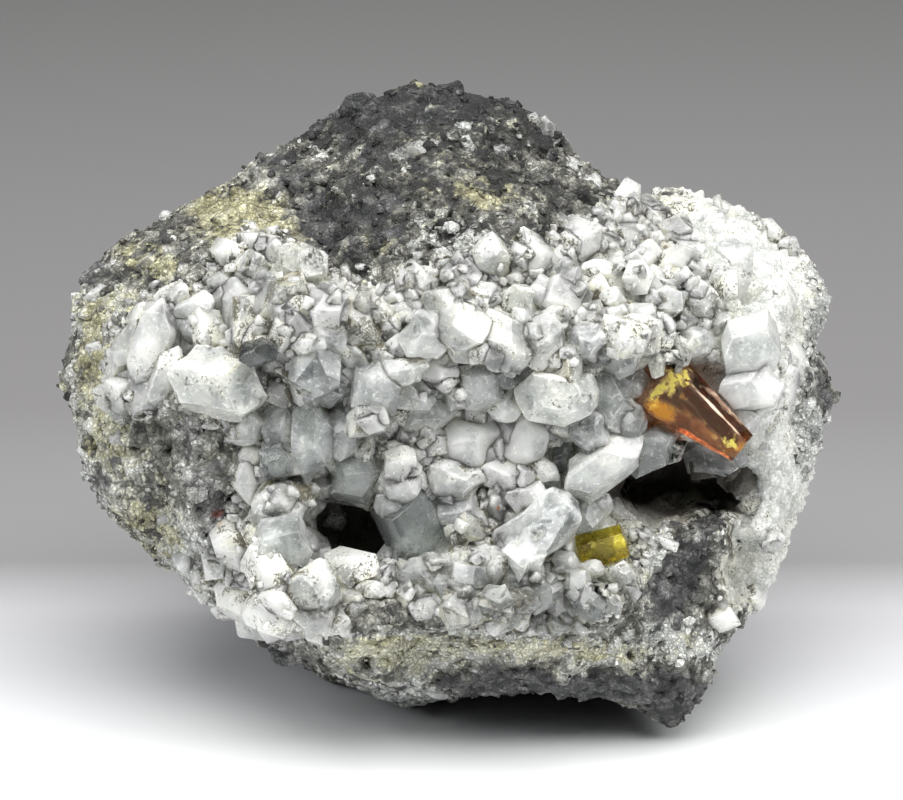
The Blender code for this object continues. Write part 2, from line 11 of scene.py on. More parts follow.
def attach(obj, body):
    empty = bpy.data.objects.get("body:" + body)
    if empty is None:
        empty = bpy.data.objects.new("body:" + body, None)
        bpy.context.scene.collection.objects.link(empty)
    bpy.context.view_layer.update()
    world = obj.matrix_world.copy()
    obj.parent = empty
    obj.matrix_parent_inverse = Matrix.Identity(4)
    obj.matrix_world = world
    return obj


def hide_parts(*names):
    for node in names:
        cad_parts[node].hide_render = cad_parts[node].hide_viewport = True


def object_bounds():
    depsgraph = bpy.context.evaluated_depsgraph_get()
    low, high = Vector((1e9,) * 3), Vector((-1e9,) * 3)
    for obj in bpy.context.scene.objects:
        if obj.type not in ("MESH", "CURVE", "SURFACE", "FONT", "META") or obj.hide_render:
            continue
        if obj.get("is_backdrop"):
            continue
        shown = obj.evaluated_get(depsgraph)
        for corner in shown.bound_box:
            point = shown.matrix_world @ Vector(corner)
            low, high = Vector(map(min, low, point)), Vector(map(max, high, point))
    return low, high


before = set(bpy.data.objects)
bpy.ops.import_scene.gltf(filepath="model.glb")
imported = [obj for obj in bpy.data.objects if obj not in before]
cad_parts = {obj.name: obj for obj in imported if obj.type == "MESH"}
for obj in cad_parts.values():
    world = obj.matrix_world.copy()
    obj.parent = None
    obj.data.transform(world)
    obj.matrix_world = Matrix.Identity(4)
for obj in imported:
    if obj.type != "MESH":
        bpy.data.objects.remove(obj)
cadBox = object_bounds()
mm = 0.001
boxMargin = 0.8 * mm  # how far a crystal may stand past the frame's box
groundMargin = 0.4 * mm  # how far a crystal stays above the ground

# The stone's face as the camera sees it. Places on it are in the picture's own pixels.
eyeView = {
    "lean": math.radians(18),
    "faceMiddle": Vector((-0.6, 1.8, 29.6)),
    "eyeDistance": 330.0,
    "middleU": 444.0,
    "middleV": 400.0,
    "mmPerPixel": 0.0969,
    "pictureWidth": 903.0,
}


# Small helpers


def onFace(across, up, deep=0.0):
    leanSin, leanCos = math.sin(eyeView["lean"]), math.cos(eyeView["lean"])
    step = Vector((across, up * leanSin + deep * leanCos, up * leanCos - deep * leanSin))
    return (eyeView["faceMiddle"] + step) * mm


eyePlace = onFace(0, 0, -eyeView["eyeDistance"])


def lookThrough(u, v):  # the direction from the eye through that pixel
    across = (u - eyeView["middleU"]) * eyeView["mmPerPixel"]
    up = (eyeView["middleV"] - v) * eyeView["mmPerPixel"]
    return (onFace(across, up) - eyePlace).normalized()


def pixelsOf(places):  # for an array of places: the pixels they are seen at, and how deep they are in mm
    leanSin, leanCos = math.sin(eyeView["lean"]), math.cos(eyeView["lean"])
    step = places / mm - np.array(eyeView["faceMiddle"])
    up = step[:, 1] * leanSin + step[:, 2] * leanCos
    deep = step[:, 1] * leanCos - step[:, 2] * leanSin
    near = eyeView["eyeDistance"] / (eyeView["eyeDistance"] + deep) / eyeView["mmPerPixel"]
    return eyeView["middleU"] + step[:, 0] * near, eyeView["middleV"] - up * near, deep


def deselectAll():
    if bpy.context.object and bpy.context.object.mode != "OBJECT":
        bpy.ops.object.mode_set(mode="OBJECT")
    bpy.ops.object.select_all(action="DESELECT")


def pick(piece):
    deselectAll()
    piece.select_set(True)
    bpy.context.view_layer.objects.active = piece


def applyModifier(piece, kind, **settings):
    pick(piece)
    modifier = piece.modifiers.new(kind.lower(), kind)
    for name, value in settings.items():
        setattr(modifier, name, value)
    bpy.ops.object.modifier_apply(modifier=modifier.name)


def subdivided(piece, chosen=None, **settings):  # chosen: for each face whether it is divided, or all
    pick(piece)
    if chosen is not None:
        mesh = piece.data
        mesh.edges.foreach_set("select", np.zeros(len(mesh.edges), bool))
        mesh.vertices.foreach_set("select", np.zeros(len(mesh.vertices), bool))
        mesh.polygons.foreach_set("select", chosen)
    bpy.ops.object.mode_set(mode="EDIT")
    if chosen is None:
        bpy.ops.mesh.select_all(action="SELECT")
    bpy.ops.mesh.subdivide(**settings)
    bpy.ops.object.mode_set(mode="OBJECT")


def pieceFrom(name, verts, faces):
    mesh = bpy.data.meshes.new(name)
    mesh.from_pydata(verts, [], faces)
    mesh.update()
    piece = bpy.data.objects.new(name, mesh)
    bpy.context.scene.collection.objects.link(piece)
    return piece


def copyOfNode(nodeName, newName):
    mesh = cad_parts[nodeName].data.copy()
    bm = bmesh.new()
    bm.from_mesh(mesh)
    bmesh.ops.remove_doubles(bm, verts=bm.verts, dist=0.002 * mm)
    bm.to_mesh(mesh)
    bm.free()
    mesh.materials.clear()
    piece = bpy.data.objects.new(newName, mesh)
    bpy.context.scene.collection.objects.link(piece)
    return piece


def joined(newName, pieces):
    deselectAll()
    for piece in pieces:
        piece.select_set(True)
    bpy.context.view_layer.objects.active = pieces[0]
    bpy.ops.object.join()
    pieces[0].name = newName
    return pieces[0]


def placesOf(piece):
    places = np.empty(len(piece.data.vertices) * 3)
    piece.data.vertices.foreach_get("co", places)
    return places.reshape(-1, 3)


def normalsOf(piece):
    normals = np.empty(len(piece.data.vertices) * 3)
    piece.data.vertex_normals.foreach_get("vector", normals)
    return normals.reshape(-1, 3)


def movePlaces(piece, places):
    piece.data.vertices.foreach_set("co", places.reshape(-1).astype(np.float32))
    piece.data.update()


def putValues(piece, name, values):
    attribute = piece.data.attributes.get(name) or piece.data.attributes.new(name, "FLOAT", "POINT")
    attribute.data.foreach_set("value", np.asarray(values, np.float32))


def valuesOf(piece, name):
    values = np.empty(len(piece.data.vertices), np.float32)
    piece.data.attributes[name].data.foreach_get("value", values)
    return values


def smoothStep(values, low, high):
    share = np.clip((values - low) / (high - low), 0, 1)
    return share * share * (3 - 2 * share)


def noiseAt(places, size, seed=0.0):  # smooth noise from -1 to 1, with lumps of that size in mm
    shift = Vector((seed, seed * 1.7, -seed))
    scale = 1 / (size * mm)
    return np.array([noise.noise(Vector(place) * scale + shift) for place in places])


def grainsAt(places, size, seed=0.0):  # rounded grains of that size in mm: height and own number, 0 to 1
    scale, shift = 1 / (size * mm), Vector((seed, -seed, seed * 0.3))
    heights, numbers = np.empty(len(places)), np.empty(len(places))
    for index, place in enumerate(places):
        distances, centres = noise.voronoi(Vector(place) * scale + shift)
        heights[index] = min(1.0, (distances[1] - distances[0]) * 2.2)
        numbers[index] = 0.5 + 0.5 * noise.cell(centres[0] * 7.3)
    return heights, numbers


def solidTree(*pieces):
    bm = bmesh.new()
    for piece in pieces:
        bm.from_mesh(piece.data)
    tree = BVHTree.FromBMesh(bm)
    bm.free()
    return tree


def finishPiece(piece, material, smoothAngle=None):
    piece.data.materials.clear()
    piece.data.materials.append(material)
    pick(piece)
    if smoothAngle is None:
        bpy.ops.object.shade_smooth()
    else:
        bpy.ops.object.shade_smooth_by_angle(angle=math.radians(smoothAngle))
    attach(piece, "root")
    triangles = sum(len(face.vertices) - 2 for face in piece.data.polygons)
    print(f"{piece.name}: {triangles} triangles")
    return piece


# Where the stone's kinds of rock are

# The border of the white calcite, in pixels
pocketBorder = [
    (112, 385), (108, 332), (168, 292), (232, 258), (250, 236), (300, 246), (345, 284), (398, 290),
    (450, 262), (540, 256), (600, 226), (640, 192), (705, 190), (762, 222), (808, 262), (806, 322),
    (792, 372), (796, 430), (812, 462), (800, 530), (776, 606), (722, 618), (716, 570), (728, 515),
    (712, 496), (690, 522), (640, 530), (634, 570), (615, 612), (560, 640), (500, 626), (430, 606),
    (350, 602), (320, 640), (240, 622), (200, 580), (232, 552), (250, 492), (244, 432), (214, 416),
]


def borderDistance(u, v):  # signed distance to the calcite's border in mm, positive inside
    nearest = np.full(len(u), 1e9)
    inside = np.zeros(len(u), bool)
    for (u1, v1), (u2, v2) in zip(pocketBorder, pocketBorder[1:] + pocketBorder[:1]):
        sideU, sideV = u2 - u1, v2 - v1
        along = ((u - u1) * sideU + (v - v1) * sideV) / (sideU**2 + sideV**2)
        along = np.clip(along, 0, 1)
        nearest = np.minimum(nearest, np.hypot(u - u1 - along * sideU, v - v1 - along * sideV))
        if v1 != v2:
            inside ^= ((v1 > v) != (v2 > v)) & (u < sideU * (v - v1) / sideV + u1)
    return np.where(inside, nearest, -nearest) * eyeView["mmPerPixel"]


# Patches of each kind of rock on the face, and of tone shifts that are partly painted shade and light: (u, v,
# reach u, reach v, turn, strength)
rockPatches = {
    # darker rock where the strength is positive; at the dark slot at the lower right this is painted shade,
    # and the negative strength on the down-facing yellow band is painted light
    "toneAndPaintedLight": [
        (430, 115, 170, 58, 0, 0.42), (340, 215, 34, 50, 0, 0.12), (480, 215, 150, 56, 0, 0.25),
        (600, 680, 120, 20, 0, 0.08), (440, 654, 120, 16, 3, -0.7), (110, 440, 44, 120, 0, -0.2),
        (204, 480, 26, 90, 0, -0.38), (250, 606, 60, 34, 0, -0.5), (727, 543, 7, 20, 12, 0.9),
    ],
    "shale": [
        (360, 115, 38, 24, -20, 1.1), (430, 105, 80, 26, 0, 0.7), (480, 95, 40, 14, -10, 0.6),
        (270, 160, 60, 26, -35, 0.6), (375, 215, 36, 50, 20, 0.62), (420, 165, 90, 14, -12, 0.62),
        (318, 222, 22, 30, 0, 0.75), (345, 250, 26, 24, 0, 0.4), (560, 135, 60, 16, 15, 0.5),
        (196, 430, 14, 44, -15, 0.72), (212, 500, 24, 42, 5, 0.62), (222, 540, 16, 20, 0, 0.7),
        (672, 585, 28, 44, -35, 1.0), (702, 532, 22, 28, 0, 0.6), (728, 525, 10, 28, 15, 0.9),
        (575, 688, 130, 14, 2, 1.1), (672, 700, 30, 24, 0, 1.0), (480, 676, 60, 12, 8, 0.55),
        (292, 657, 22, 10, -20, 0.9), (180, 250, 60, 20, -30, 0.4), (118, 460, 20, 18, 0, 0.5),
        (150, 505, 18, 16, 0, 0.5), (105, 530, 22, 14, -40, 0.4), (816, 385, 14, 50, 0, 0.5),
        (745, 600, 12, 12, 0, 0.7), (90, 270, 30, 12, -35, 0.5), (96, 480, 12, 22, 0, 0.4),
        (520, 275, 26, 10, 0, 0.3),
    ],
    "stain": [
        (242, 218, 60, 30, -12, 1.2), (110, 360, 22, 46, 0, 0.85), (92, 400, 24, 56, 10, 0.5),
        (150, 262, 44, 18, -25, 0.8), (470, 190, 60, 22, -8, 0.45), (385, 240, 20, 14, 0, 0.5),
        (410, 652, 90, 20, 3, 0.85), (610, 650, 80, 11, -3, 0.6), (385, 645, 34, 8, 5, 0.5),
        (150, 520, 34, 54, 40, 0.6), (560, 245, 60, 26, 0, 0.3), (300, 285, 40, 14, 0, 0.3),
        (520, 650, 60, 14, 4, 0.55), (120, 310, 34, 24, 0, 0.5), (700, 210, 60, 14, 15, 0.25),
        (120, 450, 34, 30, 40, 0.65), (90, 330, 16, 40, 0, 0.5),
    ],
    "white": [
        (760, 300, 60, 110, 0, 1.2), (820, 290, 30, 60, 0, 1.1), (815, 470, 30, 60, 0, 1.1),
        (700, 205, 90, 30, 12, 0.9), (780, 540, 44, 100, 8, 1.1), (500, 250, 130, 26, 0, 0.42),
        (620, 240, 60, 34, 0, 0.6), (250, 606, 70, 42, 15, 1.5), (390, 696, 70, 16, 2, 0.9),
        (100, 310, 34, 26, 0, 0.8), (690, 640, 50, 16, -20, 0.8), (600, 650, 90, 13, -3, 0.9),
        (650, 560, 14, 30, -30, 0.6), (130, 380, 30, 60, 0, 0.5), (640, 540, 50, 18, 0, 0.5),
        (560, 635, 60, 14, 0, 0.5), (195, 560, 34, 60, 20, 0.75), (105, 430, 44, 60, 0, 0.62),
        (420, 634, 120, 14, 3, 0.6), (460, 215, 40, 20, 0, 0.25), (130, 510, 40, 60, 40, 0.4),
        (75, 330, 14, 40, 0, 0.6),
    ],
}

rustPatches = [(495, 509, 6, 5, 30, 1.1), (217, 514, 9, 5, 20, 0.8), (228, 505, 5, 5, 0, 0.6)]


def patchStrength(patches, u, v, facing=1.0):
    total = np.zeros(len(u))
    for middleU, middleV, reachU, reachV, turn, strength in patches:
        turn = math.radians(turn)
        right, above = u - middleU, middleV - v
        along = (right * math.cos(turn) + above * math.sin(turn)) / reachU
        beside = (above * math.cos(turn) - right * math.sin(turn)) / reachV
        total += strength * np.exp(-((along**2 + beside**2) ** 1.5))
    return total * facing


def paintRock(piece):
    # The kinds of rock at each point, and the tone shifts that are partly painted shade and light: patches on
    # the face, and broad drifts over the sides and back
    places, normals = placesOf(piece), normalsOf(piece)
    u, v, deep = pixelsOf(places)
    towards = -(normals[:, 1] * math.cos(eyeView["lean"]) - normals[:, 2] * math.sin(eyeView["lean"]))
    facing = smoothStep(towards, -0.25, 0.15) * smoothStep(-deep, -16, -8)
    wobble = noiseAt(places, 5.0, 3.0) * 0.28 + noiseAt(places, 1.7, 9.0) * 0.22
    drift, veins = noiseAt(places, 17.0, 21.0), noiseAt(places, 8.0, 33.0)
    back = 1 - facing
    shale = patchStrength(rockPatches["shale"], u, v, facing) + back * smoothStep(drift, -0.35, 0.15) * 0.9
    stain = patchStrength(rockPatches["stain"], u, v, facing) + back * smoothStep(veins, 0.15, 0.45) * 0.6
    seams = smoothStep(-np.abs(drift + veins * 0.5), -0.1, 0.0)
    white = patchStrength(rockPatches["white"], u, v, facing) + back * seams * 0.7
    putValues(piece, "rust", patchStrength(rustPatches, u, v, facing) + wobble * 0.3)
    # tone shifts, partly painted shade and light, with the back a little darker
    putValues(piece, "toneAndPaintedLight", patchStrength(rockPatches["toneAndPaintedLight"], u, v, facing) + back * 0.15)
    putValues(piece, "shale", shale + wobble * 0.8)
    putValues(piece, "stain", stain + wobble * np.sign(noiseAt(places, 3.0, 4.0)) * 0.7)
    putValues(piece, "white", white - wobble * 0.8)


# Shader groups


def addNode(tree, kind, inputs=None, **settings):
    node = tree.nodes.new(kind)
    for name, value in settings.items():
        setattr(node, name, value)
    for name, value in (inputs or {}).items():
        if isinstance(value, bpy.types.NodeSocket):
            tree.links.new(value, node.inputs[name])
        else:
            node.inputs[name].default_value = value
    return node


def mixColours(tree, share, first, second, blend="MIX"):
    inputs = {0: share, 6: first, 7: second}
    return addNode(tree, "ShaderNodeMix", inputs, data_type="RGBA", blend_type=blend).outputs[2]


def maths(tree, operation, first, second=0.0, clamp=False):
    inputs = {0: first, 1: second}
    return addNode(tree, "ShaderNodeMath", inputs, operation=operation, use_clamp=clamp).outputs[0]


def addShare(tree, total, value, share):  # total + value * share
    return maths(tree, "ADD", total, maths(tree, "MULTIPLY", value, share))


def takeShare(tree, total, value, share, clamp=False):  # total - value * share
    return maths(tree, "SUBTRACT", total, maths(tree, "MULTIPLY", value, share), clamp)


def noiseOf(tree, place, scale, detail=3.0, distortion=0.0):
    inputs = {"Vector": place, "Scale": scale, "Detail": detail, "Distortion": distortion}
    return addNode(tree, "ShaderNodeTexNoise", inputs).outputs


def darkened(tree, colour, shade):  # the colour times a grey of that brightness
    grey = addNode(tree, "ShaderNodeCombineColor", {0: shade, 1: shade, 2: shade}).outputs[0]
    return mixColours(tree, 1.0, colour, grey, "MULTIPLY")


def addBump(tree, shader, height, strength, distance):
    inputs = {"Height": height, "Strength": strength, "Distance": distance}
    bump = addNode(tree, "ShaderNodeBump", inputs)
    tree.links.new(bump.outputs["Normal"], shader.inputs["Normal"])


def stretch(tree, value, fromLow, fromHigh, toLow=0.0, toHigh=1.0):
    inputs = {"Value": value, "From Min": fromLow, "From Max": fromHigh, "To Min": toLow, "To Max": toHigh}
    return addNode(tree, "ShaderNodeMapRange", inputs).outputs["Result"]


def ramp(tree, value, stops):
    node = addNode(tree, "ShaderNodeValToRGB", {"Fac": value})
    while len(node.color_ramp.elements) < len(stops):
        node.color_ramp.elements.new(0.5)
    for element, (place, colour) in zip(node.color_ramp.elements, stops):
        element.position = place
        element.color = (*colour, 1)
    return node.outputs["Color"]


def newGroup(name, inputs, outputs):
    tree = bpy.data.node_groups.new(name, "ShaderNodeTree")
    for socketName, kind in inputs:
        tree.interface.new_socket(socketName, in_out="INPUT", socket_type=kind)
    for socketName, kind in outputs:
        tree.interface.new_socket(socketName, in_out="OUTPUT", socket_type=kind)
    return tree, addNode(tree, "NodeGroupInput").outputs, addNode(tree, "NodeGroupOutput").inputs


def makeGrainGroup():
    # Packed grains: a number for each grain, and a height that falls off at its edges
    tree, given, result = newGroup(
        "packedGrains",
        [("Vector", "NodeSocketVector"), ("Grains per metre", "NodeSocketFloat")],
        [("Number", "NodeSocketFloat"), ("Height", "NodeSocketFloat")],
    )
    warp = noiseOf(tree, given["Vector"], 900.0, 2.0)
    lift = addNode(tree, "ShaderNodeVectorMath", {0: warp["Color"], "Scale": 0.5 * mm}, operation="SCALE")
    moved = addNode(tree, "ShaderNodeVectorMath", {0: given["Vector"], 1: lift.outputs[0]}, operation="ADD")
    inputs = {"Vector": moved.outputs[0], "Scale": given["Grains per metre"]}
    cells = addNode(tree, "ShaderNodeTexVoronoi", inputs)
    edges = addNode(tree, "ShaderNodeTexVoronoi", inputs, feature="DISTANCE_TO_EDGE")
    number = addNode(tree, "ShaderNodeSeparateColor", {"Color": cells.outputs["Color"]})
    tree.links.new(number.outputs[0], result["Number"])
    tree.links.new(stretch(tree, edges.outputs["Distance"], 0.0, 0.16), result["Height"])
    return tree


def makeSpeckGroup():
    # Irregular dark specks of dirt in clumps, thicker where Share is high
    tree, given, result = newGroup(
        "darkSpecks",
        [("Vector", "NodeSocketVector"), ("Share", "NodeSocketFloat")],
        [("Mask", "NodeSocketFloat")],
    )
    inputs = {"Vector": given["Vector"], "Scale": 4200.0, "Detail": 3.0, "Roughness": 0.6}
    dots = addNode(tree, "ShaderNodeTexNoise", inputs)
    clumps = noiseOf(tree, given["Vector"], 520.0)["Fac"]
    wanted = maths(tree, "MULTIPLY", given["Share"], stretch(tree, clumps, 0.42, 0.58))
    level = takeShare(tree, 0.72, wanted, 0.22)
    over = maths(tree, "SUBTRACT", dots.outputs["Fac"], level)
    tree.links.new(stretch(tree, over, 0.0, 0.03), result["Mask"])
    return tree


grainGroup, speckGroup = makeGrainGroup(), makeSpeckGroup()


def newMaterial(name):
    material = bpy.data.materials.new(name)
    material.use_nodes = True
    tree = material.node_tree
    shader = tree.nodes["Principled BSDF"]
    place = addNode(tree, "ShaderNodeTexCoord").outputs["Object"]
    return material, tree, shader, place


def attribute(tree, name):
    return addNode(tree, "ShaderNodeAttribute", attribute_name=name).outputs["Fac"]


def useGroup(tree, group, inputs):
    return addNode(tree, "ShaderNodeGroup", inputs, node_tree=group).outputs


def setShader(shader, **values):
    for name, value in values.items():
        shader.inputs[name.replace("_", " ")].default_value = value


# Materials

rockColours = {
    "grit": [(0.0, (0.030, 0.031, 0.030)), (0.22, (0.075, 0.074, 0.068)), (0.45, (0.19, 0.188, 0.165)),
             (0.65, (0.33, 0.33, 0.29)), (0.85, (0.50, 0.50, 0.455)), (1.0, (0.78, 0.79, 0.76))],
    "shale": [(0.0, (0.026, 0.027, 0.029)), (0.25, (0.066, 0.067, 0.070)), (0.45, (0.135, 0.137, 0.138)),
              (0.64, (0.235, 0.235, 0.23)), (0.80, (0.46, 0.46, 0.45)), (1.0, (0.80, 0.80, 0.78))],
    "stain": [(0.0, (0.17, 0.155, 0.085)), (0.3, (0.37, 0.35, 0.20)), (0.6, (0.58, 0.56, 0.36)),
              (1.0, (0.80, 0.79, 0.63))],
    "white": [(0.0, (0.42, 0.43, 0.40)), (0.3, (0.62, 0.64, 0.61)), (0.7, (0.78, 0.80, 0.77)),
              (1.0, (0.88, 0.89, 0.87))],
}


def makeRockMaterial():
    material, tree, shader, place = newMaterial("gritAndShale")
    coarse = useGroup(tree, grainGroup, {"Vector": place, "Grains per metre": 1150.0})
    fine = useGroup(tree, grainGroup, {"Vector": place, "Grains per metre": 2700.0})
    cloud, dust = noiseOf(tree, place, 430.0, 5.0)["Fac"], noiseOf(tree, place, 3600.0)["Fac"]
    tone = maths(tree, "MULTIPLY", coarse["Number"], 0.34)
    tone = addShare(tree, tone, fine["Number"], 0.28)
    tone = addShare(tree, tone, stretch(tree, cloud, 0.34, 0.66), 0.42)
    tone = addShare(tree, tone, attribute(tree, "tint"), 0.6)
    # tone shifts taken off the tone, partly painted shade and light
    tone = maths(tree, "SUBTRACT", tone, attribute(tree, "toneAndPaintedLight"), clamp=True)

    colour = ramp(tree, tone, rockColours["grit"])
    clump = stretch(tree, noiseOf(tree, place, 620.0)["Fac"], 0.3, 0.7, -0.25, 0.25)
    jitter = maths(tree, "ADD", stretch(tree, fine["Number"], 0.0, 1.0, -0.2, 0.2), clump)
    for kind, low, high in (("white", 0.34, 0.66), ("stain", 0.32, 0.78), ("shale", 0.28, 0.66)):
        share = stretch(tree, maths(tree, "ADD", attribute(tree, kind), jitter), low, high)
        toneHere = maths(tree, "MULTIPLY", tone, 0.8) if kind == "shale" else tone
        colour = mixColours(tree, share, colour, ramp(tree, toneHere, rockColours[kind]))
    specks = useGroup(tree, speckGroup, {"Vector": place, "Share": 0.16})["Mask"]
    colour = mixColours(tree, maths(tree, "MULTIPLY", specks, 0.8), colour, (0.05, 0.04, 0.025, 1))
    # painted shade: darker where the grains' height falls off at their edges
    heights = maths(tree, "MULTIPLY", coarse["Height"], fine["Height"])
    colour = darkened(tree, colour, stretch(tree, heights, 0.0, 1.0, 0.5, 1.0))
    # painted shade: near black in the gaps between grains and in the pits
    gapAndPitShade = stretch(tree, attribute(tree, "gapAndPitShade"), 0.35, 1.1, 0.0, 0.6)
    colour = mixColours(tree, gapAndPitShade, colour, (0.022, 0.02, 0.015, 1))
    rust = stretch(tree, attribute(tree, "rust"), 0.3, 0.8)
    colour = mixColours(tree, rust, colour, (0.16, 0.05, 0.035, 1))
    tree.links.new(colour, shader.inputs["Base Color"])
    glints = maths(tree, "GREATER_THAN", fine["Number"], 0.9)
    tree.links.new(takeShare(tree, 0.78, glints, 0.5), shader.inputs["Roughness"])
    height = maths(tree, "MULTIPLY", coarse["Height"], 0.6)
    height = addShare(tree, height, fine["Height"], 0.35)
    addBump(tree, shader, addShare(tree, height, dust, 0.35), 0.85, 0.18 * mm)
    setShader(shader, Specular_IOR_Level=0.45)
    return material


def makeCalciteMaterial(name, look):
    material, tree, shader, place = newMaterial(name)
    cloud = noiseOf(tree, place, 300.0, 4.0)["Fac"]
    veil = noiseOf(tree, place, 950.0, 4.0, 1.6)["Fac"]
    fine = noiseOf(tree, place, 2600.0)["Fac"]
    # painted rim light: milkier where the surface turns away from the eye
    paintedRimLight = addNode(tree, "ShaderNodeLayerWeight", {"Blend": 0.3}).outputs["Facing"]
    milky = maths(tree, "ADD", stretch(tree, cloud, 0.32, 0.68, -0.3, 0.5), attribute(tree, "tint"))
    milky = addShare(tree, milky, paintedRimLight, 0.4)
    milky = maths(tree, "ADD", milky, stretch(tree, veil, 0.35, 0.65, -0.08, 0.12))
    # milkier along the crystals' edges: partly frosted edges, partly painted edge highlight
    milky = maths(tree, "ADD", milky, stretch(tree, attribute(tree, "edge"), 0.05, 0.2, 0.0, 0.5))
    milky = maths(tree, "ADD", milky, stretch(tree, fine, 0.58, 0.68, 0.0, 0.45))
    if look["grainy"]:
        grains = useGroup(tree, grainGroup, {"Vector": place, "Grains per metre": 1900.0})
        milky = addShare(tree, milky, maths(tree, "SUBTRACT", grains["Number"], 0.5), look["grainy"])
    milky = maths(tree, "MAXIMUM", milky, 0.0, clamp=True)
    colour = mixColours(tree, milky, (*look["grey"], 1), (*look["milk"], 1))
    dusk = stretch(tree, attribute(tree, "tint"), -1.1, -0.5, 0.85, 0.0)
    colour = mixColours(tree, dusk, colour, (0.10, 0.11, 0.13, 1))
    # dirt and painted crevice shade: a dirt level with the closeness in narrow gaps added
    dirtAndCreviceShade = attribute(tree, "dirtAndCreviceShade")
    film = stretch(tree, addShare(tree, dirtAndCreviceShade, cloud, 0.5), 0.35, 1.25, 0.0, 0.85)
    colour = mixColours(tree, film, colour, (0.66, 0.64, 0.50, 1))
    # painted shade with dirt: near black where the point is closed in
    gapDirtAndShade = stretch(tree, addShare(tree, dirtAndCreviceShade, fine, 0.45), 1.05, 1.5, 0.0, 0.85)
    colour = mixColours(tree, gapDirtAndShade, colour, (0.10, 0.09, 0.06, 1))
    # painted shade: the bed near black inside the caves
    caveShadeShare = stretch(tree, attribute(tree, "caveShade"), 0.25, 0.75)
    colour = mixColours(tree, caveShadeShare, colour, (0.035, 0.03, 0.024, 1))
    share = addShare(tree, look["dirt"] * 0.25, dirtAndCreviceShade, look["dirt"])
    specks = useGroup(tree, speckGroup, {"Vector": place, "Share": share})["Mask"]
    colour = mixColours(tree, maths(tree, "MULTIPLY", specks, 0.85), colour, (0.07, 0.06, 0.035, 1))
    rust = stretch(tree, attribute(tree, "rust"), 0.3, 0.7)
    colour = mixColours(tree, rust, colour, (0.50, 0.13, 0.03, 1))
    if look["grainy"]:
        rim = maths(tree, "ADD", attribute(tree, "rim"), stretch(tree, fine, 0.3, 0.7, -0.22, 0.22))
        share = stretch(tree, rim, 0.45, 0.75)
        colour = mixColours(tree, share, colour, ramp(tree, grains["Number"], rockColours["grit"]))
        # painted shade: darker at the grains' sunk edges
        colour = darkened(tree, colour, stretch(tree, grains["Height"], 0.0, 1.0, 0.72, 1.0))
    tree.links.new(colour, shader.inputs["Base Color"])
    rough = stretch(tree, addShare(tree, fine, cloud, 0.5), 0.55, 0.95, *look["frost"])
    rough = addShare(tree, rough, maths(tree, "ADD", film, specks), 0.3)
    tree.links.new(rough, shader.inputs["Roughness"])
    height = addShare(tree, maths(tree, "MULTIPLY", fine, 0.45), veil, 0.7)
    if look["grainy"]:
        height = addShare(tree, height, grains["Height"], look["grainy"])
    addBump(tree, shader, height, 0.45, 0.14 * mm)
    setShader(shader, Subsurface_Weight=look["glow"], Subsurface_Radius=(1.0, 1.0, 0.97),
              Subsurface_Scale=2.2 * mm, IOR=1.5, Specular_IOR_Level=0.5, Coat_Weight=look["gloss"],
              Coat_Roughness=0.06)
    if look["clear"]:
        seeThrough = takeShare(tree, look["clear"], milky, look["clear"] * 0.6)
        seeThrough = takeShare(tree, seeThrough, film, 0.5)
        seeThrough = maths(tree, "SUBTRACT", seeThrough, gapDirtAndShade, clamp=True)
        tree.links.new(seeThrough, shader.inputs["Transmission Weight"])
    return material


rockMaterial = makeRockMaterial()
crystalMaterial = makeCalciteMaterial("milkyCalcite", {
    "milk": (0.90, 0.915, 0.885), "grey": (0.79, 0.84, 0.85), "frost": (0.05, 0.22),
    "dirt": 1.35, "glow": 1.0, "gloss": 0.3, "grainy": 0.0, "clear": 0.88})
bedMaterial = makeCalciteMaterial("massiveCalcite", {
    "milk": (0.74, 0.75, 0.725), "grey": (0.43, 0.45, 0.43), "frost": (0.35, 0.6),
    "dirt": 1.2, "glow": 0.7, "gloss": 0.0, "grainy": 0.8, "clear": 0.0})
print("materials ready")


# The stone's body and the calcite bed

bodyShape = {
    "closeGap": 0.5,       # mm the surfaces grow before they are joined, to close the seat between them
    "voxel": 0.78,
    "bedFlatten": 14,      # smoothing rounds on the bed, so the crystals stand on an even ground
    "bedSink": 1.3,
    "underBed": 1.5,
    "bedThickness": 1.6,
    "fineAhead": 11,       # mm behind the face's middle up to which the rock has the finer mesh
    "massive": {"rightOf": (735, 775), "cornerRightOf": (640, 700), "cornerAcross": (430, 500)},  # in pixels
}


def smoothPlaces(piece, mask, rounds, factor=0.5):
    # Evens out the places where mask is 1
    edges = np.empty(len(piece.data.edges) * 2, int)
    piece.data.edges.foreach_get("vertices", edges)
    first, second = edges.reshape(-1, 2).T
    places = placesOf(piece)
    count = np.bincount(first, minlength=len(places)) + np.bincount(second, minlength=len(places))
    for _ in range(rounds):
        total = np.zeros_like(places)
        np.add.at(total, first, places[second])
        np.add.at(total, second, places[first])
        places += (total / count[:, None] - places) * (mask * factor)[:, None]
    movePlaces(piece, places)


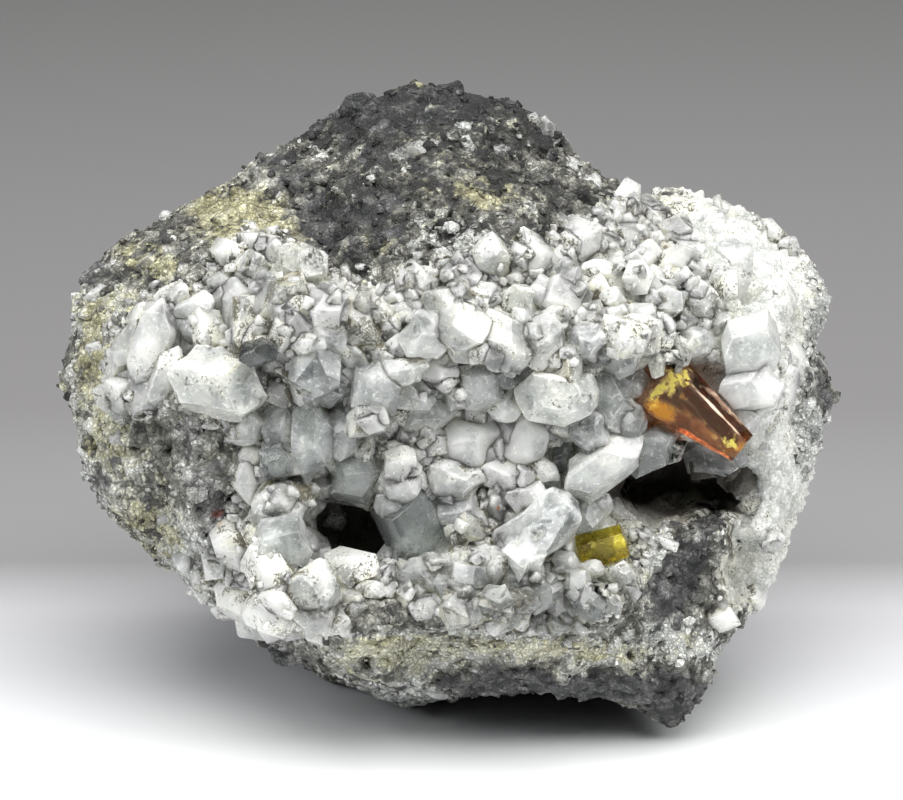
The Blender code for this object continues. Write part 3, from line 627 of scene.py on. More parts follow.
def makeWholeBody():
    whole = joined("wholeBody", [copyOfNode("matrix", "wholeBody"), copyOfNode("calcite_crust", "crustCopy")])
    grow = bodyShape["closeGap"] * mm
    applyModifier(whole, "DISPLACE", strength=grow, mid_level=0.0)
    applyModifier(whole, "REMESH", mode="VOXEL", voxel_size=bodyShape["voxel"] * mm)
    applyModifier(whole, "DISPLACE", strength=-grow, mid_level=0.0)
    bm = bmesh.new()
    bm.from_mesh(whole.data)
    islands, unseen = [], set(bm.verts)
    while unseen:
        island, rim = [], [unseen.pop()]
        while rim:
            vert = rim.pop()
            island.append(vert)
            for edge in vert.link_edges:
                other = edge.other_vert(vert)
                if other in unseen:
                    unseen.remove(other)
                    rim.append(other)
        islands.append(island)
    islands.sort(key=len)
    bmesh.ops.delete(bm, geom=[vert for island in islands[:-1] for vert in island], context="VERTS")
    bm.to_mesh(whole.data)
    bm.free()
    return whole


cadTree = solidTree(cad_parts["matrix"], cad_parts["calcite_crust"])
wholeBody = makeWholeBody()
print("whole body", len(wholeBody.data.polygons), "faces")

places = placesOf(wholeBody)
u, v, deep = pixelsOf(places)
insideBy = borderDistance(u, v) + noiseAt(places, 2.2, 5.0) * 0.9
insideBy = np.where(deep < 8, insideBy, -9.0)
smoothPlaces(wholeBody, smoothStep(insideBy, 0.0, 1.2), bodyShape["bedFlatten"])
putValues(wholeBody, "insideBy", insideBy)


# Painted shade in the two deep holes and the slot at the lower right: patches where the bed is darkened
# nearly to black
caveShadePatches = [
    (362, 540, 46, 36, -30, 1.2), (345, 520, 24, 20, 0, 0.6), (655, 476, 80, 19, 12, 1.4),
    (722, 486, 30, 22, 0, 0.8), (730, 541, 6, 18, 12, 1.1),
]


def makeBed():
    bed = wholeBody.copy()
    bed.data = wholeBody.data.copy()
    bed.name = "calciteBed"
    bpy.context.scene.collection.objects.link(bed)
    bm = bmesh.new()
    bm.from_mesh(bed.data)
    layer = bm.verts.layers.float["insideBy"]
    outside = [face for face in bm.faces if max(vert[layer] for vert in face.verts) < -0.25]
    bmesh.ops.delete(bm, geom=outside, context="FACES")
    bm.to_mesh(bed.data)
    bm.free()
    subdivided(bed, number_cuts=1, smoothness=0.4)

    places, normals = placesOf(bed), normalsOf(bed)
    inside = valuesOf(bed, "insideBy")
    u, v, _ = pixelsOf(places)
    lumps, numbers = grainsAt(places, 2.3, 2.0)
    small, smallNumbers = grainsAt(places, 0.95, 6.0)
    sink = smoothStep(inside, 0.0, 2.0) * bodyShape["bedSink"]
    massive = bodyShape["massive"]
    corner = smoothStep(u - v, *massive["cornerAcross"]) * smoothStep(u, *massive["cornerRightOf"])
    rightSide = np.maximum(smoothStep(u, *massive["rightOf"]), corner)
    ownLift = (numbers - 0.4) * 0.7 * lumps + lumps * 0.25 + small * (0.16 + 0.2 * smallNumbers) - sink
    solidLift = noiseAt(places, 1.7, 71.0) * 0.55 + noiseAt(places, 0.7, 73.0) * 0.35
    solidLift += small * (0.1 + 0.45 * smallNumbers)
    lift = ownLift * (1 - rightSide) + solidLift * rightSide
    movePlaces(bed, places + normals * (lift * mm)[:, None])
    putValues(bed, "tint", numbers * 0.5 - 0.35 + rightSide * (0.35 + smallNumbers * 0.4))
    # dirt and painted shade: more in the gaps between grains and near the border
    dirtAndCreviceShade = 0.38 - 0.28 * lumps * small + 0.35 * smoothStep(-inside, -2.5, -0.5)
    dirtAndCreviceShade += 0.25 * noiseAt(places, 4.0, 7.0)
    dirtAndCreviceShade = dirtAndCreviceShade * (1 - 0.6 * rightSide) + rightSide * 0.4 * smoothStep(noiseAt(places, 1.3, 75.0), 0.25, 0.6)
    putValues(bed, "dirtAndCreviceShade", dirtAndCreviceShade)
    putValues(bed, "caveShade", patchStrength(caveShadePatches, u, v) + 0.2 * noiseAt(places, 2.0, 8.0))
    rim = 1 - smoothStep(inside, -0.3, 1.8) + 0.35 * noiseAt(places, 1.4, 18.0) - rightSide * 0.5
    putValues(bed, "rim", rim)
    applyModifier(bed, "SOLIDIFY", thickness=bodyShape["bedThickness"] * mm, offset=-1.0)
    return bed


def makeBody():
    body = wholeBody
    body.name = "shaleBody"
    places, normals = placesOf(body), normalsOf(body)
    inside = valuesOf(body, "insideBy")
    movePlaces(body, places - normals * (smoothStep(inside, 0.1, 1.4) * bodyShape["underBed"] * mm)[:, None])

    _, _, deep = pixelsOf(placesOf(body))
    wanted = (deep < bodyShape["fineAhead"]) & (inside < 0.6)
    corners = np.array([face.vertices[0] for face in body.data.polygons])
    subdivided(body, wanted[corners], number_cuts=1, smoothness=0.4)
    paintRock(body)

    places, normals = placesOf(body), normalsOf(body)
    shale = smoothStep(valuesOf(body, "shale"), 0.2, 0.6)
    inside = valuesOf(body, "insideBy")
    bare = 1 - smoothStep(inside, 0.0, 0.8)
    lumps, numbers = grainsAt(places, 3.1, 12.0)
    small, smallNumbers = grainsAt(places, 1.25, 16.0)
    pits = smoothStep(noiseAt(places, 1.6, 40.0), 0.42, 0.6)
    beds = np.array([math.sin(place[2] / mm * 2.6 + place[0] / mm * 0.5) for place in places])
    lift = (numbers - 0.5) * 0.9 * lumps + (smallNumbers - 0.35) * 0.5 * small + small * 0.15
    lift += shale * beds * 0.12 + noiseAt(places, 0.8, 50.0) * 0.12 - pits * 0.9
    putValues(body, "tint", (numbers - 0.5) * 0.5 + (smallNumbers - 0.5) * 0.45)
    # painted shade for the sunk gaps between grains and for the pits
    putValues(body, "gapAndPitShade", np.maximum((1 - small) * 0.7, (1 - lumps) * 0.9) * 0.8 + pits)
    for kind, pull in (("white", 0.7), ("stain", 0.6), ("shale", -0.5)):
        shift = (smallNumbers - 0.5) * pull + (numbers - 0.5) * pull * 0.5
        putValues(body, kind, valuesOf(body, kind) + shift)
    flat = smoothStep(places[:, 2] / mm, 0.2, 1.8)
    movePlaces(body, places + normals * (lift * bare * flat * mm)[:, None])
    return body


calciteBed = makeBed()
shaleBody = makeBody()
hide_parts("matrix")
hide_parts("calcite_crust")
finishPiece(shaleBody, rockMaterial)
finishPiece(calciteBed, bedMaterial)

print("body and bed ready")


# Calcite crystals


def anyWay(chance):  # three even draws from -1 to 1
    return Vector([chance.uniform(-1, 1) for _ in range(3)])


def gaussWay(chance):  # three draws around 0, so every direction is as likely
    return Vector([chance.gauss(0, 1) for _ in range(3)])


def alongWay(axis):  # the rotation that turns Z to that direction
    return axis.normalized().to_track_quat("Z", "Y").to_matrix()


def bevelled(piece, width, segments, angle):
    applyModifier(piece, "BEVEL", width=width, segments=segments, limit_method="ANGLE",
                  angle_limit=math.radians(angle))


def startModel(name, add, resize=None, **settings):  # adds a primitive and leaves it in edit mode
    deselectAll()
    add(location=(0, 0, 0), **settings)
    model = bpy.context.object
    model.name = name
    bpy.ops.object.mode_set(mode="EDIT")
    bpy.ops.mesh.select_all(action="SELECT")
    if resize:
        bpy.ops.transform.resize(value=resize)
    return model


def cutOff(point, outward, fill=True):  # takes away what stands past that plane, in edit mode
    bpy.ops.mesh.select_all(action="SELECT")
    bpy.ops.mesh.bisect(plane_co=point, plane_no=outward, use_fill=fill, clear_outer=True)


def crystalModel(name, seed, thickness, slope, bevel, wear):
    # A six-sided prism with a blunt three-faced cap at each end, one unit long along Z, worn round
    chance = random.Random(seed)
    cylinder = bpy.ops.mesh.primitive_cylinder_add
    model = startModel(name, cylinder, (1.0, thickness, 1.0), vertices=6, radius=0.5, depth=1.3)
    cuts = []
    for end in (1, -1):
        for third in range(3):
            around = math.radians(120 * third + 60 * (end < 0) + 30 + chance.uniform(-12, 12))
            lean = math.radians(slope + chance.uniform(-7, 7))
            side = math.sin(lean)
            outward = Vector((math.cos(around) * side, math.sin(around) * side, end * math.cos(lean)))
            cuts.append((Vector((0, 0, end * 0.5)) + outward * chance.uniform(-0.06, 0.03), outward))
    for _ in range(2):
        around = chance.uniform(0, 2 * math.pi)
        outward = Vector((math.cos(around), math.sin(around), chance.uniform(-0.5, 0.5))).normalized()
        cuts.append((outward * chance.uniform(0.38, 0.44), outward))
    for point, outward in cuts:
        cutOff(point, outward)
    bevelled(model, bevel, 2 if wear else 1, 14)
    if wear:
        applyModifier(model, "SUBSURF", subdivision_type="SIMPLE", levels=1, render_levels=1)
        applyModifier(model, "SMOOTH", factor=0.5, iterations=wear)
    places, normals = placesOf(model), normalsOf(model)
    rough = [noise.noise(Vector(place) * 2.8 + Vector((seed, 0, 0))) for place in places]
    movePlaces(model, places + normals * (np.array(rough) * (0.02 + 0.012 * wear))[:, None])
    return model


def rhombModel(name, seed, stretchBy, bevel):
    # A block with skewed faces, worn round
    chance = random.Random(seed)
    resize = (1.0, chance.uniform(0.75, 1.0), stretchBy)
    model = startModel(name, bpy.ops.mesh.primitive_cube_add, resize, size=0.8)
    for _ in range(3):
        outward = anyWay(chance).normalized()
        cutOff(outward * chance.uniform(0.36, 0.46), outward)
    bevelled(model, bevel, 1, 18)
    return model


def grainModel(name, seed):  # an angular grain of few faces
    chance = random.Random(seed)
    model = startModel(name, bpy.ops.mesh.primitive_cube_add, size=1.0)
    for _ in range(4):
        outward = anyWay(chance).normalized()
        cutOff(outward * chance.uniform(0.30, 0.42), outward)
    bpy.ops.object.mode_set(mode="OBJECT")
    return model


def convexity(piece):  # 0 on a flat facet, higher along its edges
    edges = np.empty(len(piece.data.edges) * 2, int)
    piece.data.edges.foreach_get("vertices", edges)
    first, second = edges.reshape(-1, 2).T
    places, normals = placesOf(piece), normalsOf(piece)
    step = places[second] - places[first]
    step /= np.linalg.norm(step, axis=1)[:, None] + 1e-9
    total = np.zeros(len(places))
    np.add.at(total, first, -(normals[first] * step).sum(axis=1))
    np.add.at(total, second, (normals[second] * step).sum(axis=1))
    return np.clip(total / np.bincount(edges, minlength=len(places)), 0, 1)


sharpModels = [
    crystalModel("crystalA", 1, 0.90, 36, 0.07, 1), crystalModel("crystalB", 2, 0.82, 42, 0.09, 2),
    crystalModel("crystalC", 3, 0.95, 32, 0.08, 1), crystalModel("crystalD", 4, 0.78, 44, 0.07, 2),
]
wornModels = [
    crystalModel("crystalE", 5, 0.92, 32, 0.18, 5), crystalModel("crystalF", 6, 0.86, 34, 0.16, 5),
    crystalModel("crystalG", 7, 0.95, 36, 0.20, 7), crystalModel("crystalH", 8, 0.80, 34, 0.17, 6),
]
bigModels = sharpModels + wornModels
mediumModels = [
    crystalModel("medium" + letter, 10 + number, 0.8 + 0.04 * number, 22 + 4 * number, 0.16, 0)
    for number, letter in enumerate("ABCDE")
]
grainModels = [grainModel("grain" + letter, 40 + number) for number, letter in enumerate("ABCDE")]
smallModels = [rhombModel("rhomb" + letter, 20 + number, 0.8 + 0.12 * number, 0.09)
               for number, letter in enumerate("ABCDEF")]


def pushedInside(verts):  # moves a whole crystal or grain back to within a margin of the frame's box
    low, high = np.array(cadBox[0]) - boxMargin, np.array(cadBox[1]) + boxMargin
    low[2] = groundMargin
    return verts - np.maximum(0, verts.max(axis=0) - high) + np.maximum(0, low - verts.min(axis=0))


def copiesOf(name, models, rows):
    # rows: model number, turned and scaled 3x3 matrix, middle, tint. All copies in one mesh
    arrays = []
    for model in models:
        faces = [tuple(face.vertices) for face in model.data.polygons]
        arrays.append((placesOf(model), faces, convexity(model)))
    verts, faces, tints, edges, start = [], [], [], [], 0
    for number, turned, middle, tint in rows:
        local, modelFaces, modelEdges = arrays[number]
        verts.append(pushedInside(local @ np.array(turned).T + np.array(middle)))
        faces.extend([tuple(corner + start for corner in face) for face in modelFaces])
        tints.append(np.full(len(local), tint))
        edges.append(modelEdges)
        start += len(local)
    piece = pieceFrom(name, np.concatenate(verts).tolist(), faces)
    putValues(piece, "tint", np.concatenate(tints))
    putValues(piece, "edge", np.concatenate(edges))
    return piece


def crystalTurn(turn, lean, spin):
    # Long axis on the face at that turn, leaning towards the eye, and spun about itself
    origin = onFace(0, 0)
    steps = ((1, 0, 0), (0, 1, 0), (0, 0, 1))
    right, upward, inward = ((onFace(*step) - origin).normalized() for step in steps)
    turn, lean = math.radians(turn), math.radians(lean)
    flat = right * math.cos(turn) + upward * math.sin(turn)
    longAxis = flat * math.cos(lean) - inward * math.sin(lean)
    side = right * -math.sin(turn) + upward * math.cos(turn)
    turned = Matrix((side, longAxis.cross(side), longAxis)).transposed()
    return turned @ Matrix.Rotation(math.radians(spin), 3, "Z")


# The larger crystals: (u, v, long, wide, turn, lean, tint, dirt level)
bigCrystals = {
    "leftCalciteBlocks": [
        (152, 346, 96, 40, 74, 15, 0.45, 0.2), (196, 326, 62, 42, 12, 40, 0.50, 0.1),
        (148, 390, 54, 40, 80, 25, 0.45, 0.2), (132, 336, 74, 30, 64, 20, 0.40, 0.4),
        (172, 346, 84, 28, 98, 15, 0.45, 0.2), (190, 312, 58, 26, 22, 30, 0.50, 0.2),
        (166, 376, 60, 26, 70, 10, 0.40, 0.3), (206, 336, 54, 24, -10, 20, 0.40, 0.2),
        (217, 384, 94, 66, -10, 10, 0.40, 0.42), (245, 424, 48, 40, 70, 20, 0.40, 0.4),
        (240, 304, 62, 50, 100, 30, 0.50, 0.1), (259, 352, 36, 28, 20, 30, -1.15, 0.1),
        (174, 300, 48, 34, 30, 40, 0.50, 0.5), (124, 366, 40, 34, 80, 30, 0.50, 0.5),
        (268, 318, 44, 38, 40, 25, 0.45, 0.1), (215, 345, 50, 36, 10, 30, 0.55, 0.1),
    ],
    "browCrystalsLeft": [
        (250, 268, 48, 34, 30, 40, 0.1, 0.5), (300, 265, 52, 38, -20, 30, 0.1, 0.6),
        (276, 300, 50, 42, 40, 35, 0.25, 0.2), (322, 330, 62, 57, -30, 25, 0.30, 0.1),
        (318, 372, 58, 48, 30, 20, 0.05, 0.0), (358, 322, 58, 42, -40, 20, 0.1, 0.9),
        (376, 388, 54, 46, 80, 15, 0.05, -0.2), (402, 370, 52, 28, 5, 10, 0.2, 0.4),
        (405, 395, 50, 28, -5, 10, 0.15, 0.5), (335, 290, 40, 36, 60, 30, 0.15, 0.5),
    ],
    "browCrystalsMiddle": [
        (428, 338, 52, 50, 50, 30, 0.35, 0.3), (465, 332, 58, 52, 20, 30, 0.25, 0.5),
        (502, 342, 62, 52, -20, 20, 0.25, 0.5), (545, 342, 58, 48, 85, 20, 0.25, 0.4),
        (482, 385, 52, 46, 90, 20, -0.1, 0.0), (555, 397, 78, 52, -12, 5, 0.3, 0.4),
        (525, 372, 38, 32, 20, 30, 0.0, 0.2), (448, 305, 46, 36, 10, 40, 0.1, 0.6),
        (520, 302, 46, 40, 40, 40, 0.1, 0.6),
    ],
    "browCrystalsRight": [
        (565, 300, 56, 50, 30, 35, 0.41, 0.2), (600, 282, 48, 42, 80, 30, 0.46, 0.3),
        (632, 288, 60, 40, 120, 25, 0.71, 0.0), (588, 342, 44, 38, 0, 30, 0.21, 0.2),
        (641, 338, 64, 44, -12, 15, 0.51, 0.5), (699, 345, 36, 34, 90, 20, 0.01, 0.2),
        (668, 305, 40, 36, 40, 40, 0.26, 0.4), (700, 300, 44, 38, 10, 35, 0.31, 0.5),
        (716, 322, 32, 26, -10, 30, 0.36, 0.3), (749, 352, 88, 58, 68, 10, 0.61, 0.1),
        (752, 388, 60, 50, 10, 20, 0.61, 0.0), (740, 410, 56, 26, -55, 0, 0.26, -0.1),
        (620, 360, 40, 34, 20, 30, 0.21, 0.3), (640, 320, 42, 34, 60, 30, 0.31, 0.4),
        (680, 262, 46, 38, 30, 40, 0.51, 0.3), (735, 262, 50, 40, -30, 40, 0.56, 0.2),
    ],
    "wallCrystalsLeft": [
        (312, 437, 90, 42, 86, 10, -0.03, 0.0), (283, 428, 52, 40, 120, 15, 0.02, 0.2),
        (276, 465, 34, 32, 90, 30, -0.78, 0.1), (262, 515, 26, 21, 30, 20, -0.18, 0.2),
        (272, 498, 28, 19, 75, 10, -0.13, 0.0), (345, 430, 62, 42, 90, 20, -0.18, 0.1),
        (355, 478, 62, 48, 60, 20, -0.33, 0.1), (330, 400, 44, 36, 30, 20, -0.13, 0.1),
        (300, 490, 32, 26, 10, 30, -0.58, 0.4), (335, 520, 26, 22, 60, 30, -0.58, 0.5),
    ],
    "wallCrystalsMiddle": [
        (425, 412, 62, 42, 0, 10, 0.15, -0.1), (470, 440, 64, 52, 10, 20, 0.60, 0.1),
        (400, 465, 38, 31, 90, 20, 0.45, 0.6), (397, 487, 46, 34, 0, 10, 0.50, 0.1),
        # the crystal at (412, 522) is darkened by a low tint, partly as painted shade deep in the pocket
        (412, 522, 76, 62, -65, 5, -0.62, -0.2), (460, 512, 62, 54, 70, 15, 0.40, 0.0),
        (455, 478, 66, 44, -5, 20, 0.40, 0.3), (508, 480, 54, 38, -25, 20, 0.50, 0.2),
        (525, 438, 64, 42, 80, 10, 0.55, 0.1), (530, 500, 44, 34, 10, 20, 0.45, 0.2),
        (540, 470, 42, 26, -30, 10, 0.50, 0.4), (440, 370, 44, 34, -20, 30, 0.70, 0.3),
        (505, 405, 38, 32, 60, 30, 0.45, 0.2),
    ],
    "wallCrystalsRight": [
        (603, 465, 90, 44, 38, 5, 0.25, 0.2), (563, 456, 46, 24, 60, 10, -1.10, 0.0),
        (608, 405, 60, 42, -60, 10, -0.10, 0.1), (590, 430, 42, 38, 45, 30, -0.15, 0.1),
        (650, 450, 62, 40, 25, 10, -0.25, 0.1), (716, 457, 66, 38, -8, 10, 0.10, -0.1),
        (625, 425, 44, 36, 30, 20, -0.15, 0.2), (632, 385, 44, 36, 10, 20, 0.00, 0.3),
    ],
    "floorCrystals": [
        (535, 535, 102, 56, 38, 15, 0.20, 0.1), (583, 520, 50, 38, 10, 30, 0.15, 0.1),
        (614, 516, 42, 30, -50, 10, 0.15, 0.3), (280, 550, 80, 56, 65, 10, 0.15, -0.1),
        (305, 597, 72, 56, 20, 30, 0.35, 0.5), (469, 578, 44, 38, 60, 50, 0.30, 0.0),
        (430, 578, 64, 42, 0, 25, 0.05, 0.4), (371, 592, 32, 20, 0, 20, 0.15, 0.6),
        (345, 578, 28, 26, 0, 30, 0.15, 0.6), (510, 570, 56, 44, -20, 30, 0.15, 0.3),
        (541, 590, 44, 32, 10, 30, 0.25, 0.3), (577, 585, 32, 30, 0, 60, 0.20, 0.2),
        (590, 603, 38, 34, 40, 60, 0.35, 0.0), (465, 608, 32, 27, 80, 30, 0.25, 0.3),
        (497, 602, 38, 32, 0, 30, 0.15, 0.4), (400, 588, 40, 32, 20, 30, 0.05, 0.5),
        (240, 600, 50, 40, -20, 30, 0.35, 0.4), (560, 620, 36, 30, 30, 40, 0.25, 0.5),
        (330, 618, 40, 32, 10, 40, 0.35, 0.5), (620, 574, 28, 22, 30, 30, 0.15, 0.6),
        (592, 570, 26, 18, 10, 30, 0.20, 0.4), (606, 576, 22, 18, 60, 30, 0.20, 0.5),
    ],
    "rockCrystals": [
        (415, 152, 30, 20, 20, 20, -0.5, 0.7), (398, 160, 20, 14, -20, 20, -0.5, 0.7),
        (432, 146, 18, 12, 40, 30, -0.3, 0.6), (497, 152, 28, 14, 10, 0, 0.0, 0.3),
        (546, 130, 30, 20, 90, 10, 0.0, 0.5), (533, 122, 20, 14, 80, 10, -0.2, 0.6),
        (572, 168, 26, 20, -30, 20, 0.0, 0.5), (590, 186, 24, 20, 20, 20, 0.1, 0.5),
        (470, 240, 26, 22, 30, 30, 0.1, 0.6), (505, 222, 22, 18, -20, 30, -0.2, 0.6),
        (440, 258, 26, 20, 10, 30, 0.1, 0.6), (560, 222, 20, 18, 40, 30, 0.0, 0.7),
        (612, 212, 26, 22, 10, 30, 0.2, 0.5), (96, 298, 30, 18, 40, 10, 0.4, 0.1),
        (120, 440, 22, 18, 40, 20, 0.2, 0.3), (165, 520, 24, 18, 90, 20, 0.35, 0.1),
        (185, 560, 34, 24, 100, 10, 0.4, 0.1), (205, 590, 30, 24, 120, 10, 0.3, 0.3),
        (225, 560, 24, 20, 60, 20, 0.1, 0.4), (100, 350, 26, 20, 20, 20, 0.2, 0.6),
        (80, 400, 22, 18, 80, 10, 0.2, 0.6), (355, 690, 44, 20, -10, 0, 0.3, 0.3),
        (400, 694, 40, 18, 5, 0, 0.35, 0.2), (440, 690, 34, 16, 0, 0, 0.2, 0.3),
        (650, 640, 26, 18, 20, 20, 0.1, 0.5), (700, 636, 24, 18, -20, 20, 0.2, 0.4),
        (610, 646, 22, 18, 0, 20, 0.2, 0.5),
    ],
}

crystalLook = {"growth": 1.08, "sunk": 0.28, "spinSeed": 4, "companions": 2}
# Crystals sunk by a share of their own width: by their place in pixels, others by crystalLook
standOut = {
    (603, 465): -0.15, (555, 397): 0.02, (376, 388): 0.05, (535, 535): 0.0, (280, 550): 0.0,
    (412, 522): 0.05, (312, 437): 0.0, (217, 384): 0.1, (641, 338): 0.35, (749, 352): 0.05,
    (563, 456): 0.1, (259, 352): -0.3, (469, 578): 0.1, (276, 465): -0.1, (132, 336): 0.3,
    (152, 346): 0.05, (172, 346): 0.05, (166, 376): 0.0,
}
# The two parisites and the caves, where no small crystal stands in front: (u, v, reach)
keptClear = [
    (693, 408, 48), (660, 392, 30), (728, 445, 28), (604, 550, 27), (350, 536, 30), (650, 488, 36),
    (700, 486, 26), (674, 366, 24),
]


def within(spots, u, v, extra=0.0):
    return any(math.hypot(u - spotU, v - spotV) < reach + extra for spotU, spotV, reach in spots)


def companionsOf(row, chance):  # smaller crystals grown on a large one, nearly in line with it
    u, v, length, width, turn, lean, tint, dirtAndCreviceShade = row
    if (u, v) in standOut or min(length, width) < 32:
        return []
    near = []
    for _ in range(crystalLook["companions"]):
        along = chance.uniform(-0.42, 0.42) * length
        beside = chance.choice((-1, 1)) * chance.uniform(0.2, 0.5) * width
        slant, share = math.radians(turn), chance.uniform(0.38, 0.66)
        near.append((
            u + along * math.cos(slant) - beside * math.sin(slant),
            v - along * math.sin(slant) - beside * math.cos(slant),
            length * share, width * share * 1.15, turn + chance.gauss(0, 14), lean + chance.gauss(0, 12),
            tint + chance.gauss(0, 0.15), dirtAndCreviceShade + chance.gauss(0, 0.12),
        ))
    return near


def placeOnStone(tree, u, v):
    return tree.ray_cast(eyePlace, lookThrough(u, v))[0]


def bigCrystalRows(rows, chance):
    built = []
    wanted = [(row, None) for row in rows]
    wanted += [(near, row) for row in rows for near in companionsOf(row, chance)]
    for (u, v, length, width, turn, lean, tint, dirtAndCreviceShade), parent in wanted:
        hit = placeOnStone(cadTree, u, v)
        if hit is None or (parent and within(keptClear, u, v, width / 3)):
            continue
        if parent:
            parentFar = (placeOnStone(cadTree, *parent[:2]) - eyePlace).length
            if (hit - eyePlace).length > parentFar + 3 * mm:
                continue
        scale = eyeView["mmPerPixel"] * mm * crystalLook["growth"]
        length, width = length * scale, width * scale
        middle = hit + lookThrough(u, v) * width * standOut.get((u, v), crystalLook["sunk"])
        turned = crystalTurn(turn, lean, chance.uniform(0, 60)) @ Matrix.Diagonal((width, width, length))
        worn = dirtAndCreviceShade + chance.gauss(0, 0.12) > 0.12
        number = chance.randrange(4) + (len(sharpModels) if worn else 0)
        built.append((number, turned, middle, tint, dirtAndCreviceShade))
    return built


bedTree = solidTree(calciteBed)

# Where the crystals are brighter or darker than their own tint: (u, v, reach u, reach v, turn, strength)
crystalTones = [
    (470, 430, 90, 60, 0, 0.3), (530, 605, 130, 34, -5, -1.0), (238, 606, 40, 36, 15, 0.7),
    (318, 588, 36, 26, 0, -0.55), (250, 592, 22, 20, 0, 0.4), (640, 290, 80, 40, 0, 0.15),
    (335, 500, 30, 34, 0, -0.35),
]
creviceShadeRays = {"count": 4, "reach": 1.0 * mm, "start": 0.02 * mm, "spread": 0.5, "seed": 9}


def paintDirtAndCreviceShade(piece, soilBase, tree):
    # Dirt and painted shade gather in the narrow gaps: rays sent out from each point show how closed in it
    # is, and closed-in points are painted darker
    chance = random.Random(creviceShadeRays["seed"])
    places, normals = placesOf(piece), normalsOf(piece)
    closed = np.zeros(len(places))
    for index, (place, normal) in enumerate(zip(places, normals)):
        place, normal = Vector(place), Vector(normal)
        for _ in range(creviceShadeRays["count"]):
            way = (normal + gaussWay(chance) * creviceShadeRays["spread"]).normalized()
            far = tree.ray_cast(place + normal * creviceShadeRays["start"], way, creviceShadeRays["reach"])[3]
            if far is not None:
                closed[index] += (1 - far / creviceShadeRays["reach"]) / creviceShadeRays["count"]
    u, v, _ = pixelsOf(places)
    putValues(piece, "rust", patchStrength(rustPatches, u, v))
    putValues(piece, "tint", valuesOf(piece, "tint") + patchStrength(crystalTones, u, v))
    putValues(piece, "dirtAndCreviceShade", soilBase * 0.7 + closed * 0.9 + noiseAt(places, 3.0, 61.0) * 0.2)


chance = random.Random(crystalLook["spinSeed"])
bigPieces, soils = [], {}
for pieceName, rows in bigCrystals.items():
    built = bigCrystalRows(rows, chance)
    piece = copiesOf(pieceName, bigModels, [row[:4] for row in built])
    perModel = [len(model.data.vertices) for model in bigModels]
    soils[pieceName] = np.concatenate([np.full(perModel[row[0]], row[4]) for row in built])
    bigPieces.append(piece)
print("larger crystals ready")


# Small crystals between the larger ones

strewn = {
    "medium": {"count": 360, "size": (2.4, 4.9), "seed": 31, "sunk": 0.32},
    "small": {"count": 150, "size": (0.7, 1.6), "seed": 32, "sunk": 0.2},
}
# Where few small crystals grow, at the massive calcite, the caves and the dark rock: (u, v, reach)
barePlaces = [
    (775, 300, 55), (785, 430, 45), (780, 540, 50), (365, 535, 36), (640, 490, 50), (700, 490, 40),
    (735, 235, 40), (700, 212, 30), (790, 490, 55), (770, 590, 45), (745, 615, 30), (760, 460, 30),
    (735, 560, 30),
]
bareShare = 0.96  # how many of the small crystals are left out there


def strewCrystals(name, settings, models, grownOn, hiddenBy):
    chance = random.Random(settings["seed"])
    rows = []
    (lowU, lowV), (highU, highV) = np.min(pocketBorder, axis=0), np.max(pocketBorder, axis=0)
    while len(rows) < settings["count"]:
        u, v = chance.uniform(lowU, highU), chance.uniform(lowV, highV)
        if borderDistance(np.array([u]), np.array([v]))[0] < 0.2:
            continue
        if within(barePlaces, u, v) and chance.random() < bareShare:
            continue
        hit, normal, _, far = grownOn.ray_cast(eyePlace, lookThrough(u, v))
        front = hiddenBy.ray_cast(eyePlace, lookThrough(u, v))[3]
        if hit is None or (front is not None and front < far) or within(keptClear, u, v, 8):
            continue
        if -normal.dot(lookThrough(u, v)) < 0.4:
            continue
        size = chance.uniform(*settings["size"]) * mm
        length = size * chance.uniform(0.9, 1.6)
        turned = alongWay(normal + gaussWay(chance) * 0.5)
        turned = turned @ Matrix.Rotation(chance.uniform(0, 6.28), 3, "Z")
        turned = turned @ Matrix.Diagonal((size, size * chance.uniform(0.7, 1.0), length))
        middle = hit - normal * settings["sunk"] * size
        rows.append((chance.randrange(len(models)), turned, middle, chance.gauss(0.12, 0.24)))
    return copiesOf(name, models, rows)


# Crumbs on the border: none in the spots or right of the last pixel, half as many in its lower part
crumbLook = {
    "count": 260, "seed": 77, "size": (0.45, 1.5), "spread": 9,
    "bare": [(730, 540, 60)], "leftOf": 765, "halfBelow": 560,
}


def crumbsOnBorder(name):
    chance = random.Random(crumbLook["seed"])
    tree = solidTree(calciteBed, shaleBody)
    rows = []
    while len(rows) < crumbLook["count"]:
        corner = chance.randrange(len(pocketBorder))
        (u1, v1), (u2, v2) = pocketBorder[corner], pocketBorder[(corner + 1) % len(pocketBorder)]
        share = chance.random()
        u = u1 + (u2 - u1) * share + chance.gauss(0, crumbLook["spread"])
        v = v1 + (v2 - v1) * share + chance.gauss(0, crumbLook["spread"])
        hit, normal, _, _ = tree.ray_cast(eyePlace, lookThrough(u, v))
        if hit is None or u > crumbLook["leftOf"] or within(crumbLook["bare"], u, v):
            continue
        if within(keptClear, u, v, 5) or (v > crumbLook["halfBelow"] and chance.random() < 0.5):
            continue
        size = chance.uniform(*crumbLook["size"]) ** 1.2 * mm
        turned = alongWay(normal + gaussWay(chance) * 0.7)
        turned = turned @ Matrix.Diagonal((size, size * 0.85, size * chance.uniform(0.8, 1.4)))
        middle = hit - normal * 0.15 * size
        rows.append((chance.randrange(len(smallModels)), turned, middle, chance.gauss(0.05, 0.3)))
    return copiesOf(name, smallModels, rows)


